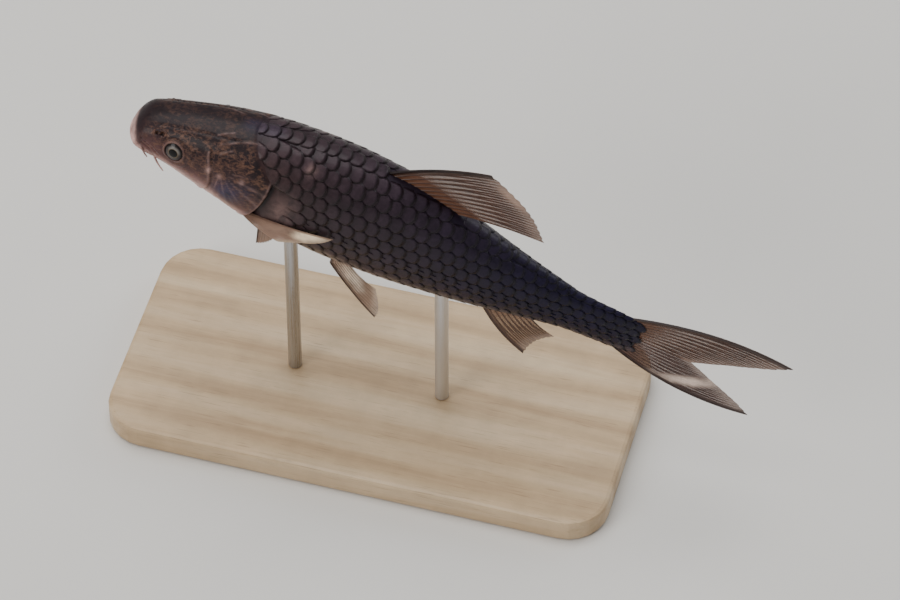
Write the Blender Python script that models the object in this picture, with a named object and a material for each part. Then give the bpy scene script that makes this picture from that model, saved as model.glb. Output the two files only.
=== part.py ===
# A brook carp, a small-river fish of the carp family, as a life-size display
# model: the fish rises nose-up and is held by two rods over a flat base.
#
# Fish axes, before it is tilted on the stand: x runs from the snout to the tail,
# z is up, and the fish's left side is at -y. Lengths of the fish are given as
# shares of its standard length (snout to tail base) and multiplied by BODY.
import math

import bpy
import bmesh
import numpy as np
from mathutils import Matrix, Vector

# ---------------------------------------------------------------- dimensions
BODY = 0.150            # standard length, snout tip to tail base
GAP = 0.0003            # clearance between neighbouring pieces
PITCH = math.radians(18)   # nose-up attitude
MID_SHARE = 0.50        # the point of the body's axis that sits over the base centre
AXIS_HEIGHT = 0.077     # height of that point over the floor

RINGS = 54              # cross sections along the body
SPOKES = 34             # points round each cross section
SNOUT_ROUND = 0.026     # length over which the snout rounds off
FULLNESS = 0.92         # 1 is a true ellipse, less is squarer shoulders

# Named stations: share from the snout, top, underside, half width
STATIONS = (
    ("snout",         0.000,  0.042, -0.020, 0.042),
    ("nostril",       0.040,  0.067, -0.030, 0.053),
    ("eye",           0.095,  0.093, -0.039, 0.0625),
    ("nape",          0.190,  0.127, -0.062, 0.0785),
    ("gill edge",     0.290,  0.152, -0.088, 0.0855),
    ("shoulder",      0.410,  0.164, -0.104, 0.084),
    ("dorsal origin", 0.500,  0.161, -0.106, 0.078),
    ("dorsal end",    0.640,  0.128, -0.095, 0.061),
    ("vent",          0.735,  0.099, -0.080, 0.048),
    ("anal end",      0.830,  0.072, -0.061, 0.034),
    ("stem",          0.910,  0.056, -0.051, 0.021),
    ("tail base",     1.000,  0.053, -0.050, 0.011),
)

GILL_TOP = (0.238, 0.20)     # x and z of the gill opening's upper end
GILL_BULGE = 0.280           # furthest back that the gill cover reaches
GILL_FOOT = (0.185, -0.14)
STEM_CUT = 0.845             # the trunk ends behind the anal fin
MOUTH_CORNER = (0.058, -0.014)
JAW_HINGE = (0.092, -0.060)
COVER_INNER = 0.046          # half distance between the covers' inner faces
COVER_CENTRE = (0.232, 0.006)
COVER_REACH = (0.060, 0.066)  # half length and half height of the covers' rounded front

EYE_AT = (0.093, 0.040)      # x and z of the eye
EYE_RADIUS = 0.0268
EYE_DEPTH = 0.78             # the ball is flatter across than it is high
EYE_PROUD = 0.0045           # how far the ball stands out of the head

# Barbels, one pair beside the snout and one at the mouth corners, laid back along the cheek
BARBELS = (
    ("snout", (0.030, 0.004), (0.062, 0.0640, -0.012), 0.0030),
    ("jaw", (0.060, -0.010), (0.100, 0.0600, -0.034), 0.0034),
)
BARBEL_TIP = 0.0019          # radius at the tip, so that it is over half a millimetre thick

DORSAL = dict(base=(0.475, 0.628), front=(0.642, 0.270), rear=(0.788, 0.152), hollow=-0.10, rays=12)
ANAL = dict(base=(0.735, 0.826), front=(0.856, -0.176), rear=(0.892, -0.092), hollow=0.12, rays=9)
FIN_ROOT, FIN_EDGE = 0.0013, 0.00056   # thickness of a fin at its root and margin

TAIL_TIP_UP = (1.315, 0.100)
TAIL_TIP_LOW = (1.288, -0.078)
TAIL_NOTCH = 1.142
TAIL_ROOT = 0.049            # half height of the fin's root

ROD_RADIUS = 0.0020
ROD_SHARES = (0.350, 0.660)  # where the rods enter the belly
ROD_ENTRY = 0.006            # how deep a rod runs into the fish
BASE_LENGTH, BASE_WIDTH, BASE_HEIGHT = 0.150, 0.072, 0.008
BASE_CORNER, BASE_EDGE = 0.012, 0.0012

# ---------------------------------------------------------------- clean start
for old in list(bpy.data.objects):
    bpy.data.objects.remove(old, do_unlink=True)

poseEmpty = bpy.data.objects.new("fish_pose", None)
bpy.context.collection.objects.link(poseEmpty)
poseEmpty.matrix_world = (
    Matrix.Translation((0, 0, AXIS_HEIGHT))
    @ Matrix.Rotation(PITCH, 4, "Y")
    @ Matrix.Translation((-MID_SHARE * BODY, 0, 0))
)


def material(name, colour, roughness, metallic=0.0):
    mat = bpy.data.materials.new(name)
    mat.use_nodes = True
    shader = mat.node_tree.nodes["Principled BSDF"]
    shader.inputs["Base Color"].default_value = (*colour, 1)
    shader.inputs["Roughness"].default_value = roughness
    shader.inputs["Metallic"].default_value = metallic
    return mat


def add(name, mesh, mat=None, parent=poseEmpty, cutter=False):
    obj = bpy.data.objects.new(name, mesh)
    bpy.context.collection.objects.link(obj)
    if parent is not None:
        obj.parent = parent
    if mat is not None:
        mesh.materials.clear()
        mesh.materials.append(mat)
    if cutter:
        obj.hide_render = True
        obj.display_type = "WIRE"
    return obj


def finish_mesh(bm, name, smooth=50):
    bmesh.ops.recalc_face_normals(bm, faces=bm.faces[:])
    mesh = bpy.data.meshes.new(name)
    bm.to_mesh(mesh)
    bm.free()
    mesh.shade_smooth()
    mesh.set_sharp_from_angle(angle=math.radians(smooth))
    return mesh


def boolean(obj, operation, cutter):
    mod = obj.modifiers.new(operation.lower() + "_" + cutter.name, "BOOLEAN")
    mod.operation = operation
    mod.solver = "EXACT"
    mod.object = cutter


# ---------------------------------------------------------------- body form
def flow(xs, ys, at):
    """A smooth curve through the stations that doesn't overshoot between them."""
    xs, ys = np.array(xs, float), np.array(ys, float)
    step = np.diff(xs)
    rise = np.diff(ys) / step
    slope = np.zeros(len(xs))
    slope[0], slope[-1] = rise[0], rise[-1]
    for i in range(1, len(xs) - 1):
        if rise[i - 1] * rise[i] > 0:
            wa, wb = 2 * step[i] + step[i - 1], step[i] + 2 * step[i - 1]
            slope[i] = (wa + wb) / (wa / rise[i - 1] + wb / rise[i])
    k = int(np.clip(np.searchsorted(xs, at) - 1, 0, len(step) - 1))
    t = (at - xs[k]) / step[k]
    return (
        ys[k] * (1 + 2 * t) * (1 - t) ** 2
        + slope[k] * step[k] * t * (1 - t) ** 2
        + ys[k + 1] * t * t * (3 - 2 * t)
        + slope[k + 1] * step[k] * t * t * (t - 1)
    )


STATION_X = [s[1] for s in STATIONS]


def section(share):
    """Top, underside, half width and height of the widest line of one section."""
    top, low, wide = (flow(STATION_X, [s[k] for s in STATIONS], share) for k in (2, 3, 4))
    middle = 0.5 * (top + low)
    ends = math.sqrt(max(0.0, 1 - (1 - min(share / SNOUT_ROUND, 1)) ** 2))
    return middle + (top - middle) * ends, middle + (low - middle) * ends, wide * ends, middle


def skin_point(share, angle):
    """A point of the body's surface. Angle 0 is the left side and 90 degrees the back."""
    top, low, wide, middle = section(share)
    c, s = math.cos(angle), math.sin(angle)
    y = -wide * math.copysign(abs(c) ** FULLNESS, c)
    reach = (top - middle) if s > 0 else (middle - low)
    z = middle + reach * math.copysign(abs(s) ** FULLNESS, s)
    return Vector((share, y, z)) * BODY


def side_point(share, height):
    """The left flank's point at one height."""
    lo, hi = -math.pi / 2, math.pi / 2
    for _ in range(40):
        mid = (lo + hi) / 2
        if skin_point(share, mid).z < height * BODY:
            lo = mid
        else:
            hi = mid
    return skin_point(share, lo)


def body_mesh(name):
    bm = bmesh.new()
    rows = []
    for i in range(RINGS):
        t = i / (RINGS - 1)
        share = 0.0009 + (1 - 0.0009) * (0.42 * t ** 2.1 + 0.58 * t ** 1.25)
        rows.append(
            [bm.verts.new(skin_point(share, 2 * math.pi * k / SPOKES)) for k in range(SPOKES)]
        )
    for a, b in zip(rows, rows[1:]):
        for k in range(SPOKES):
            n = (k + 1) % SPOKES
            bm.faces.new((a[k], a[n], b[n], b[k]))
    tip = bm.verts.new(Vector((0, 0, section(0)[3])) * BODY)
    for k in range(SPOKES):
        bm.faces.new((tip, rows[0][(k + 1) % SPOKES], rows[0][k]))
    bm.faces.new(rows[-1])
    return finish_mesh(bm, name)


def prism(name, outline, y0=-0.2, y1=0.2):
    """A cutter: an outline in the fish's side view, drawn through from y0 to y1."""
    bm = bmesh.new()
    near = [bm.verts.new(Vector((x, y0, z)) * BODY) for x, z in outline]
    far = [bm.verts.new(Vector((x, y1, z)) * BODY) for x, z in outline]
    bm.faces.new(near)
    bm.faces.new(far[::-1])
    for k in range(len(outline)):
        n = (k + 1) % len(outline)
        bm.faces.new((near[k], near[n], far[n], far[k]))
    return add(name, finish_mesh(bm, name, 20), cutter=True)


def gill_line(shift, steps=14):
    """The rear edge of the head, bulging back over the shoulder."""
    (x0, z0), (x1, z1) = GILL_TOP, GILL_FOOT
    edge = []
    for i in range(steps + 1):
        t = i / steps
        # an arc that passes near the bulge in the middle
        pull = 4 * t * (1 - t)
        x = x0 + (x1 - x0) * t + (GILL_BULGE - 0.5 * (x0 + x1)) * pull ** 0.8
        edge.append((x + shift, z0 + (z1 - z0) * t))
    return edge


half = GAP / BODY / 2
headCut = prism("cut_head", [(-0.05, GILL_FOOT[1]), (-0.05, GILL_TOP[1])] + gill_line(-half))
trunkCut = prism("cut_trunk_front", [(-0.05, GILL_FOOT[1]), (-0.05, GILL_TOP[1])] + gill_line(half))
stemCut = prism("cut_stem", [(STEM_CUT + half, -0.3), (STEM_CUT + half, 0.3), (1.2, 0.3), (1.2, -0.3)])
rearCut = prism("cut_trunk_rear", [(STEM_CUT - half, -0.3), (STEM_CUT - half, 0.3), (1.2, 0.3), (1.2, -0.3)])


def jaw_outline(grow):
    return [
        (-0.05, MOUTH_CORNER[1] + 0.004 + grow),
        (MOUTH_CORNER[0] + grow, MOUTH_CORNER[1] + grow),
        (JAW_HINGE[0] + grow, JAW_HINGE[1]),
        (JAW_HINGE[0] + grow, -0.2),
        (-0.05, -0.2),
    ]


jawKeep = prism("cut_jaw", jaw_outline(-half))
jawHollow = prism("cut_jaw_seat", jaw_outline(half))


def cover_outline(grow, steps=12):
    """A rounded front that runs straight back to the gill opening."""
    (cx, cz), (rx, rz) = COVER_CENTRE, COVER_REACH
    front = [
        (cx - (rx + grow) * math.sin(a), cz + (rz + grow) * math.cos(a))
        for a in (math.pi * i / steps for i in range(steps + 1))
    ]
    return front + [(0.33, cz - rz - grow), (0.33, cz + rz + grow)]


skinMat = material("skin_dark", (0.046, 0.036, 0.040), 0.42)
headMat = material("skin_head", (0.075, 0.052, 0.055), 0.40)
coverMat = material("gill_cover", (0.110, 0.090, 0.100), 0.36)
jawMat = material("jaw_pale", (0.420, 0.290, 0.270), 0.45)
eyeMat = material("eye", (0.030, 0.028, 0.026), 0.08)
finMat = material("fin", (0.130, 0.075, 0.055), 0.45)
rodMat = material("rod_steel", (0.55, 0.55, 0.56), 0.28, 1.0)
baseMat = material("base_paint", (0.62, 0.60, 0.56), 0.55)

head = add("head", body_mesh("head"), headMat)
trunk = add("trunk", body_mesh("trunk"), skinMat)
stem = add("tail_stem", body_mesh("tail_stem"), skinMat)
jaw = add("lower_jaw", body_mesh("lower_jaw"), jawMat)
boolean(head, "INTERSECT", headCut)
boolean(head, "DIFFERENCE", jawHollow)
boolean(trunk, "DIFFERENCE", trunkCut)
boolean(trunk, "DIFFERENCE", rearCut)
boolean(stem, "INTERSECT", stemCut)
boolean(jaw, "INTERSECT", jawKeep)

for side, name in ((-1, "left"), (1, "right")):
    inner, outer = COVER_INNER, 0.2
    keep = prism("cut_cover_" + name, cover_outline(-half), *sorted((side * (inner + half), side * outer)))
    seat = prism("cut_cover_seat_" + name, cover_outline(half), *sorted((side * (inner - half), side * outer)))
    cover = add("gill_cover_" + name, body_mesh("gill_cover_" + name), coverMat)
    boolean(cover, "INTERSECT", headCut)
    boolean(cover, "INTERSECT", keep)
    boolean(head, "DIFFERENCE", seat)

# ---------------------------------------------------------------- eyes
eyeSeat = side_point(*EYE_AT)
around = side_point(EYE_AT[0], EYE_AT[1] + 0.01) - side_point(EYE_AT[0], EYE_AT[1] - 0.01)
along = side_point(EYE_AT[0] + 0.01, EYE_AT[1]) - side_point(EYE_AT[0] - 0.01, EYE_AT[1])
eyeOut = around.cross(along).normalized()
if eyeOut.y > 0:
    eyeOut = -eyeOut


def eye_ball(name, radius, mat=None, side=-1, cutter=False):
    bm = bmesh.new()
    bmesh.ops.create_uvsphere(bm, u_segments=16, v_segments=10, radius=radius * BODY)
    bmesh.ops.scale(bm, vec=(1, 1, EYE_DEPTH), verts=bm.verts)
    turn = Vector((0, 0, 1)).rotation_difference(eyeOut).to_matrix()
    bmesh.ops.rotate(bm, matrix=turn, verts=bm.verts)
    centre = eyeSeat + eyeOut * (EYE_PROUD - EYE_RADIUS * EYE_DEPTH) * BODY
    bmesh.ops.translate(bm, vec=centre, verts=bm.verts)
    if side > 0:
        bmesh.ops.scale(bm, vec=(1, -1, 1), verts=bm.verts)
    return add(name, finish_mesh(bm, name, 80), mat, cutter=cutter)


for side, name in ((-1, "left"), (1, "right")):
    eye_ball("eye_" + name, EYE_RADIUS, eyeMat, side)
    boolean(head, "DIFFERENCE", eye_ball("cut_socket_" + name, EYE_RADIUS + GAP / BODY, None, side, True))


# ---------------------------------------------------------------- barbels
def barbel(name, side, start, tip, thick, rings=6, spokes=6):
    """A tapered whisker that starts inside the head and curves back to its tip."""
    seat = side_point(*start) / BODY
    a = Vector((seat.x, abs(seat.y) - 0.008, seat.z))
    b = Vector((seat.x + 0.006, abs(seat.y) + 0.007, seat.z - 0.002))
    c = Vector(tip)
    bm = bmesh.new()
    rows = []
    for i in range(rings):
        t = i / (rings - 1)
        spot = a * (1 - t) ** 2 + b * 2 * t * (1 - t) + c * t * t
        heading = ((b - a) * 2 * (1 - t) + (c - b) * 2 * t).normalized()
        across = heading.cross(Vector((0, 0, 1))).normalized()
        over = across.cross(heading)
        radius = thick + (BARBEL_TIP - thick) * t
        ring = []
        for k in range(spokes):
            turn = 2 * math.pi * k / spokes
            v = spot + (across * math.cos(turn) + over * math.sin(turn)) * radius
            ring.append(bm.verts.new(Vector((v.x, v.y * side, v.z)) * BODY))
        rows.append(ring)
    for near, far in zip(rows, rows[1:]):
        for k in range(spokes):
            n = (k + 1) % spokes
            bm.faces.new((near[k], near[n], far[n], far[k]))
    bm.faces.new(rows[0][::-1])
    bm.faces.new(rows[-1])
    return add(name, finish_mesh(bm, name, 60), cutter=True)


for side, name in ((-1, "left"), (1, "right")):
    for place, start, tip, thick in BARBELS:
        boolean(head, "UNION", barbel("whisker_" + place + "_" + name, side, start, tip, thick))


# ---------------------------------------------------------------- fins
def fin(name, roots, tips, bows, mat=finMat, steps=7):
    """A fin as one closed blade: rays run from roots to tips, each bowed by its own vector."""
    last = len(roots) - 1
    sheet = [
        [root.lerp(tip, k / steps) + bow * (4 * k / steps * (1 - k / steps)) for k in range(steps + 1)]
        for root, tip, bow in zip(roots, tips, bows)
    ]
    bm = bmesh.new()
    near, far = [], []
    for i in range(last + 1):
        rowNear, rowFar = [], []
        for k in range(steps + 1):
            t = k / steps
            along = sheet[i][min(k + 1, steps)] - sheet[i][max(k - 1, 0)]
            across = sheet[min(i + 1, last)][k] - sheet[max(i - 1, 0)][k]
            normal = along.cross(across).normalized()
            rim = min(1.0, 4 * min(i, last - i) / last + 0.55)
            thick = FIN_ROOT * (1 - t) ** 1.5 * rim + FIN_EDGE * (1 - (1 - t) ** 1.5 * rim)
            thick = max(thick, FIN_EDGE)
            rowNear.append(bm.verts.new(sheet[i][k] - normal * thick / 2))
            rowFar.append(bm.verts.new(sheet[i][k] + normal * thick / 2))
        near.append(rowNear)
        far.append(rowFar)
    for i in range(last):
        for k in range(steps):
            bm.faces.new((near[i][k], near[i + 1][k], near[i + 1][k + 1], near[i][k + 1]))
            bm.faces.new((far[i][k + 1], far[i + 1][k + 1], far[i + 1][k], far[i][k]))
        for k, flip in ((0, False), (steps, True)):
            quad = (near[i][k], far[i][k], far[i + 1][k], near[i + 1][k])
            bm.faces.new(quad[::-1] if flip else quad)
    for i, flip in ((0, True), (last, False)):
        for k in range(steps):
            quad = (near[i][k], far[i][k], far[i][k + 1], near[i][k + 1])
            bm.faces.new(quad[::-1] if flip else quad)
    return add(name, finish_mesh(bm, name, 40), mat)


def median_fin(name, shape, up):
    """A dorsal or anal fin: its root follows the body's top or underside."""
    roots, tips, bows = [], [], []
    count = shape["rays"]
    for i in range(count):
        t = i / (count - 1)
        share = shape["base"][0] + (shape["base"][1] - shape["base"][0]) * t
        top, low, _, _ = section(share)
        roots.append(Vector((share, 0, (top if up else low))) * BODY + Vector((0, 0, GAP if up else -GAP)))
        front, rear = Vector(shape["front"]), Vector(shape["rear"])
        edge = front.lerp(rear, t)
        inward = (Vector((share, top if up else low)) - edge).normalized()
        edge = edge + inward * shape["hollow"] * (front - rear).length * math.sin(math.pi * t) * 1.0
        tips.append(Vector((edge.x, 0, edge.y)) * BODY)
        sweep = 1 if up else -1
        bows.append(Vector((-0.5, 0, 0.86 * sweep)) * BODY * 0.010 * (1 - 0.5 * t))
    return fin(name, roots, tips, bows)


median_fin("dorsal_fin", DORSAL, True)
median_fin("anal_fin", ANAL, False)


def tail_lobe(name, up):
    tip = TAIL_TIP_UP if up else TAIL_TIP_LOW
    sign = 1 if up else -1
    rays = 10
    roots, tips, bows = [], [], []
    for i in range(rays):
        t = i / (rays - 1)                    # 0 at the outer edge, 1 at the fork
        z = sign * (TAIL_ROOT * (1 - t) + GAP / BODY / 2 * t)
        roots.append(Vector((1.0 + GAP / BODY, 0, z)) * BODY)
        x = tip[0] + (TAIL_NOTCH - tip[0]) * t ** 1.15
        height = tip[1] * (1 - t) ** 0.98 + sign * GAP / BODY / 2 * t
        tips.append(Vector((x, 0, height)) * BODY)
        bows.append(Vector((0, 0, sign)) * BODY * 0.024 * (1 - t) ** 1.5)
    return fin(name, roots, tips, bows, steps=9)


tail_lobe("caudal_fin_upper", True)
tail_lobe("caudal_fin_lower", False)


def belly_height(share, out):
    """Height of the underside at a distance out from the middle."""
    lo, hi = -math.pi / 2, 0.0
    for _ in range(40):
        mid = (lo + hi) / 2
        if abs(skin_point(share, mid).y) < out * BODY:
            lo = mid
        else:
            hi = mid
    return skin_point(share, lo).z / BODY


def outside(spot, room, downward):
    """Moves a point of the left side out of the body by at least the room it needs."""
    share, out, height = spot
    top, low, wide, middle = section(share)
    if downward:
        if out < wide:
            height = min(height, belly_height(share, out) - room)
    elif low < height < top:
        out = max(out, abs(side_point(share, height).y) / BODY + room)
    return Vector((share, out, height))


def paired_fin(name, side, rootA, rootB, tipA, tipB, rays, bulge, downward):
    """A pectoral or pelvic fin. rootA and tipA belong to the leading ray, and y is the distance outward."""
    room = FIN_ROOT / BODY * 0.62 + GAP / BODY
    outward = Vector((1, side, 1)) * BODY
    roots, tips, bows = [], [], []
    for i in range(rays):
        t = i / (rays - 1)
        root = outside(Vector(rootA).lerp(Vector(rootB), t), room, downward)
        tip = Vector(tipA).lerp(Vector(tipB), t)
        # the middle rays reach further, so the margin is rounded
        tip = outside(root + (tip - root) * (1 + 0.10 * math.sin(math.pi * t)), room, downward)
        roots.append(root * outward)
        tips.append(tip * outward)
        bows.append(Vector(bulge) * outward)
    return fin(name, roots, tips, bows, steps=6)


# left pectoral: folded back along the flank
paired_fin("pectoral_fin_left", -1, (0.262, 0.060, -0.022), (0.258, 0.050, -0.056),
           (0.428, 0.088, 0.026), (0.338, 0.080, -0.058), 9, (0, 0.005, 0), False)
# right pectoral: held down, sculling
paired_fin("pectoral_fin_right", 1, (0.252, 0.060, -0.044), (0.282, 0.054, -0.058),
           (0.308, 0.030, -0.228), (0.350, 0.040, -0.142), 9, (0, 0.014, 0), False)
for side, name in ((-1, "left"), (1, "right")):
    paired_fin("pelvic_fin_" + name, side, (0.446, 0.044, -0.100), (0.478, 0.023, -0.105),
               (0.566, 0.066, -0.172), (0.546, 0.036, -0.128), 8, (0, 0.002, -0.003), True)

# ---------------------------------------------------------------- stand
def rounded_plate(name, length, width, height, corner, steps=6):
    bm = bmesh.new()
    outline = []
    for cx, cy, start in ((1, 1, 0), (-1, 1, 90), (-1, -1, 180), (1, -1, 270)):
        for k in range(steps + 1):
            a = math.radians(start + 90 * k / steps)
            outline.append((cx * (length / 2 - corner) + corner * math.cos(a),
                            cy * (width / 2 - corner) + corner * math.sin(a)))
    face = bm.faces.new([bm.verts.new((x, y, 0)) for x, y in outline])
    raised = bmesh.ops.extrude_face_region(bm, geom=[face])
    bmesh.ops.translate(bm, vec=(0, 0, height),
                        verts=[v for v in raised["geom"] if isinstance(v, bmesh.types.BMVert)])
    return finish_mesh(bm, name, 35)


base = add("stand_base", rounded_plate("stand_base", BASE_LENGTH, BASE_WIDTH, BASE_HEIGHT, BASE_CORNER), baseMat, parent=None)
edge = base.modifiers.new("soft_edge", "BEVEL")
edge.width = BASE_EDGE
edge.segments = 2
edge.limit_method = "ANGLE"
edge.angle_limit = math.radians(60)

bpy.context.view_layer.update()
for share, name in zip(ROD_SHARES, ("front", "rear")):
    belly = poseEmpty.matrix_world @ (Vector((share, 0, section(share)[1])) * BODY)
    top = belly.z + ROD_ENTRY
    for label, radius, extra in (("stand_rod_" + name, ROD_RADIUS, 0.0), ("cut_rod_" + name, ROD_RADIUS + GAP, GAP)):
        low = BASE_HEIGHT + GAP if extra == 0.0 else BASE_HEIGHT + 0.01
        bm = bmesh.new()
        bmesh.ops.create_cone(bm, cap_ends=True, segments=20, radius1=radius, radius2=radius, depth=top + extra - low)
        bmesh.ops.translate(bm, vec=(belly.x, 0, (top + extra + low) / 2), verts=bm.verts)
        piece = add(label, finish_mesh(bm, label, 40), rodMat if extra == 0.0 else None, parent=None, cutter=extra > 0)
        if extra > 0:
            boolean(trunk, "DIFFERENCE", piece)
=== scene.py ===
import math

import bpy
import numpy as np
from mathutils import Matrix, Vector


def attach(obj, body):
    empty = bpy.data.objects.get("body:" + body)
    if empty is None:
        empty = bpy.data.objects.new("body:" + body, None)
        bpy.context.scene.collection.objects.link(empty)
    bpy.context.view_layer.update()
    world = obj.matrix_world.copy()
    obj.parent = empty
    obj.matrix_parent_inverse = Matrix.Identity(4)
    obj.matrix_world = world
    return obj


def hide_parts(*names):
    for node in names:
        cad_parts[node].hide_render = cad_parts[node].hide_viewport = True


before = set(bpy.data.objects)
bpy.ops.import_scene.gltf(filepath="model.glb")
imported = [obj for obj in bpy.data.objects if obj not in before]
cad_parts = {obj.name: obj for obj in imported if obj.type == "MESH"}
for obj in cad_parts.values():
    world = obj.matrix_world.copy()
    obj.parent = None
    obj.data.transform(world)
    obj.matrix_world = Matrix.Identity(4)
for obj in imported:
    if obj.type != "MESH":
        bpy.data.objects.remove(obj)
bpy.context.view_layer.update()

print("brook carp on its stand: frame loaded")

# ---- the fish's own axes: x from snout to tail, z up, left side at -y, in shares of its length
fishForm = {
    "length": 0.150,       # snout to tail base, metres
    "pitch": 18.0,         # nose up, degrees
    "middle": 0.50,        # share that sits over the base
    "axisHeight": 0.077,   # metres over the floor
    "snoutRound": 0.026,
    "fullness": 0.92,      # 1 is a true ellipse
    "stations": (          # share, back, belly, half width
        (0.000, 0.042, -0.020, 0.042),    # snout
        (0.040, 0.067, -0.030, 0.053),    # nostrils
        (0.095, 0.093, -0.039, 0.0625),   # eye
        (0.190, 0.127, -0.062, 0.0785),   # nape
        (0.290, 0.152, -0.088, 0.0855),   # gill edge
        (0.410, 0.164, -0.104, 0.084),    # shoulder
        (0.500, 0.161, -0.106, 0.078),    # dorsal fin starts
        (0.640, 0.128, -0.095, 0.061),    # dorsal fin ends
        (0.735, 0.099, -0.080, 0.048),    # vent
        (0.830, 0.072, -0.061, 0.034),    # anal fin ends
        (0.910, 0.056, -0.051, 0.021),    # stem
        (1.000, 0.053, -0.050, 0.0115),   # tail base
        (1.034, 0.048, -0.045, 0.0050),   # flesh runs out on the tail fin
    ),
}
size = fishForm["length"]
stations = np.array(fishForm["stations"])
fishPlace = np.array(
    Matrix.Translation((0, 0, fishForm["axisHeight"]))
    @ Matrix.Rotation(math.radians(fishForm["pitch"]), 4, "Y")
    @ Matrix.Translation((-fishForm["middle"] * size, 0, 0))
)
rng = np.random.default_rng(27)
mm = 0.001


def toRow(points):  # from fish axes, in metres, to the stand's axes
    return points @ fishPlace[:3, :3].T + fishPlace[:3, 3]


def toFish(points):
    return (points - fishPlace[:3, 3]) @ fishPlace[:3, :3]


def sided(points, side):  # points of the left side, kept there or moved to the right
    return points * [1, -side, 1]


def smooth(low, high, value):
    t = np.clip((np.asarray(value, float) - low) / (high - low), 0, 1)
    return t * t * (3 - 2 * t)


def bell(value, width):
    return np.exp(-((value / width) ** 2))


def flow(knots, values, at):  # a curve through the knots that doesn't overshoot between them
    knots, values = np.asarray(knots, float), np.asarray(values, float)
    step = np.diff(knots)
    rise = np.diff(values) / step
    slope = np.zeros(len(knots))
    slope[0], slope[-1] = rise[0], rise[-1]
    for i in range(1, len(knots) - 1):
        if rise[i - 1] * rise[i] > 0:
            wa, wb = 2 * step[i] + step[i - 1], step[i] + 2 * step[i - 1]
            slope[i] = (wa + wb) / (wa / rise[i - 1] + wb / rise[i])
    at = np.asarray(at, float)
    k = np.clip(np.searchsorted(knots, at) - 1, 0, len(step) - 1)
    t = np.clip((at - knots[k]) / step[k], 0, 1)
    return (
        values[k] * (1 + 2 * t) * (1 - t) ** 2
        + slope[k] * step[k] * t * (1 - t) ** 2
        + values[k + 1] * t * t * (3 - 2 * t)
        + slope[k + 1] * step[k] * t * t * (t - 1)
    )


def section(share):  # back, belly, half width and middle height of a cross section
    top, low, wide = (flow(stations[:, 0], stations[:, c], share) for c in (1, 2, 3))
    middle = 0.5 * (top + low)
    ends = np.sqrt(np.clip(1 - (1 - np.clip(share / fishForm["snoutRound"], 0, 1)) ** 2, 0, 1))
    return middle + (top - middle) * ends, middle + (low - middle) * ends, wide * ends, middle


def bodyPoint(share, angle):  # angle 0 is the left side and a quarter turn up is the back
    top, low, wide, middle = section(share)
    c, s = np.cos(angle), np.sin(angle)
    y = -wide * np.sign(c) * np.abs(c) ** fishForm["fullness"]
    reach = np.where(s > 0, top - middle, middle - low)
    z = middle + reach * np.sign(s) * np.abs(s) ** fishForm["fullness"]
    return np.stack([share + 0 * y, y, z], axis=-1) * size


def bodyNormal(share, angle):
    e, a = 2e-4, 2e-3
    ahead = bodyPoint(share + e, angle) - bodyPoint(np.maximum(share - e, 0), angle)
    around = bodyPoint(share, angle + a) - bodyPoint(share, angle - a)
    normal = np.cross(ahead, around)
    return normal / np.maximum(np.linalg.norm(normal, axis=-1, keepdims=True), 1e-12)


def flankPoint(share, height):  # the left flank's point at one height, both in shares
    low, high = -math.pi / 2, math.pi / 2
    for _ in range(40):
        mid = (low + high) / 2
        if bodyPoint(np.array(share), np.array(mid))[2] < height * size:
            low = mid
        else:
            high = mid
    return bodyPoint(np.array(share), np.array(low))


def newPiece(obj, name, mat, nodes=()):
    obj.name = name
    obj.data.name = name
    obj.data.materials.clear()
    obj.data.materials.append(mat)
    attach(obj, "root")
    if nodes:
        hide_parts(*nodes)
    return obj


def clearSelection():
    if bpy.context.object and bpy.context.object.mode != "OBJECT":
        bpy.ops.object.mode_set(mode="OBJECT")
    bpy.ops.object.select_all(action="DESELECT")


def pickOnly(*objects):  # the first one is made active
    clearSelection()
    for obj in objects:
        obj.select_set(True)
    bpy.context.view_layer.objects.active = objects[0]


def readPoints(obj):
    spots = np.empty(len(obj.data.vertices) * 3)
    obj.data.vertices.foreach_get("co", spots)
    return spots.reshape(-1, 3)


def writePoints(obj, spots):
    obj.data.vertices.foreach_set("co", np.ascontiguousarray(spots, dtype=np.float32).ravel())
    obj.data.update()


def pointValues(obj, name, values):  # a value at each point, for the materials
    values = np.asarray(values, dtype=np.float32)
    kind = "FLOAT_COLOR" if values.shape[1] == 4 else "FLOAT_VECTOR"
    layer = obj.data.attributes.new(name, kind, "POINT")
    layer.data.foreach_set("color" if kind == "FLOAT_COLOR" else "vector", values.ravel())


def faceOutward(obj):
    pickOnly(obj)
    bpy.ops.object.mode_set(mode="EDIT")
    bpy.ops.mesh.select_all(action="SELECT")
    bpy.ops.mesh.normals_make_consistent(inside=False)
    bpy.ops.object.mode_set(mode="OBJECT")


def joined(objects):
    pickOnly(*objects)
    bpy.ops.object.join()
    return objects[0]


# ---- eyes: place and size, as in the solids
eyeForm = {
    "at": (0.093, 0.040),   # share and height
    "radius": 0.0268,       # of the ball, as a share of the length
    "depth": 0.78,          # the ball is flatter across than it is high
    "proud": 0.0045,
    "gap": 0.00003,         # metres between the ball and the solid eye's face
    "step": 0.00003,        # a faint step round the pupil, metres
    "opening": 2.62,        # radius of the eye that shows, millimetres
    "pupil": 1.34,          # millimetres
}
eyeSeat = flankPoint(*eyeForm["at"])


def acrossEye(ahead, up):  # from one point of the flank to another, with the eye halfway
    share, height = eyeForm["at"]
    return flankPoint(share + ahead, height + up) - flankPoint(share - ahead, height - up)


upStep = acrossEye(0, 0.01)
eyeOut = np.cross(upStep, acrossEye(0.01, 0))
eyeOut = eyeOut / np.linalg.norm(eyeOut)
if eyeOut[1] > 0:
    eyeOut = -eyeOut
eyeCentre = eyeSeat + eyeOut * (eyeForm["proud"] - eyeForm["radius"] * eyeForm["depth"]) * size

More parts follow.
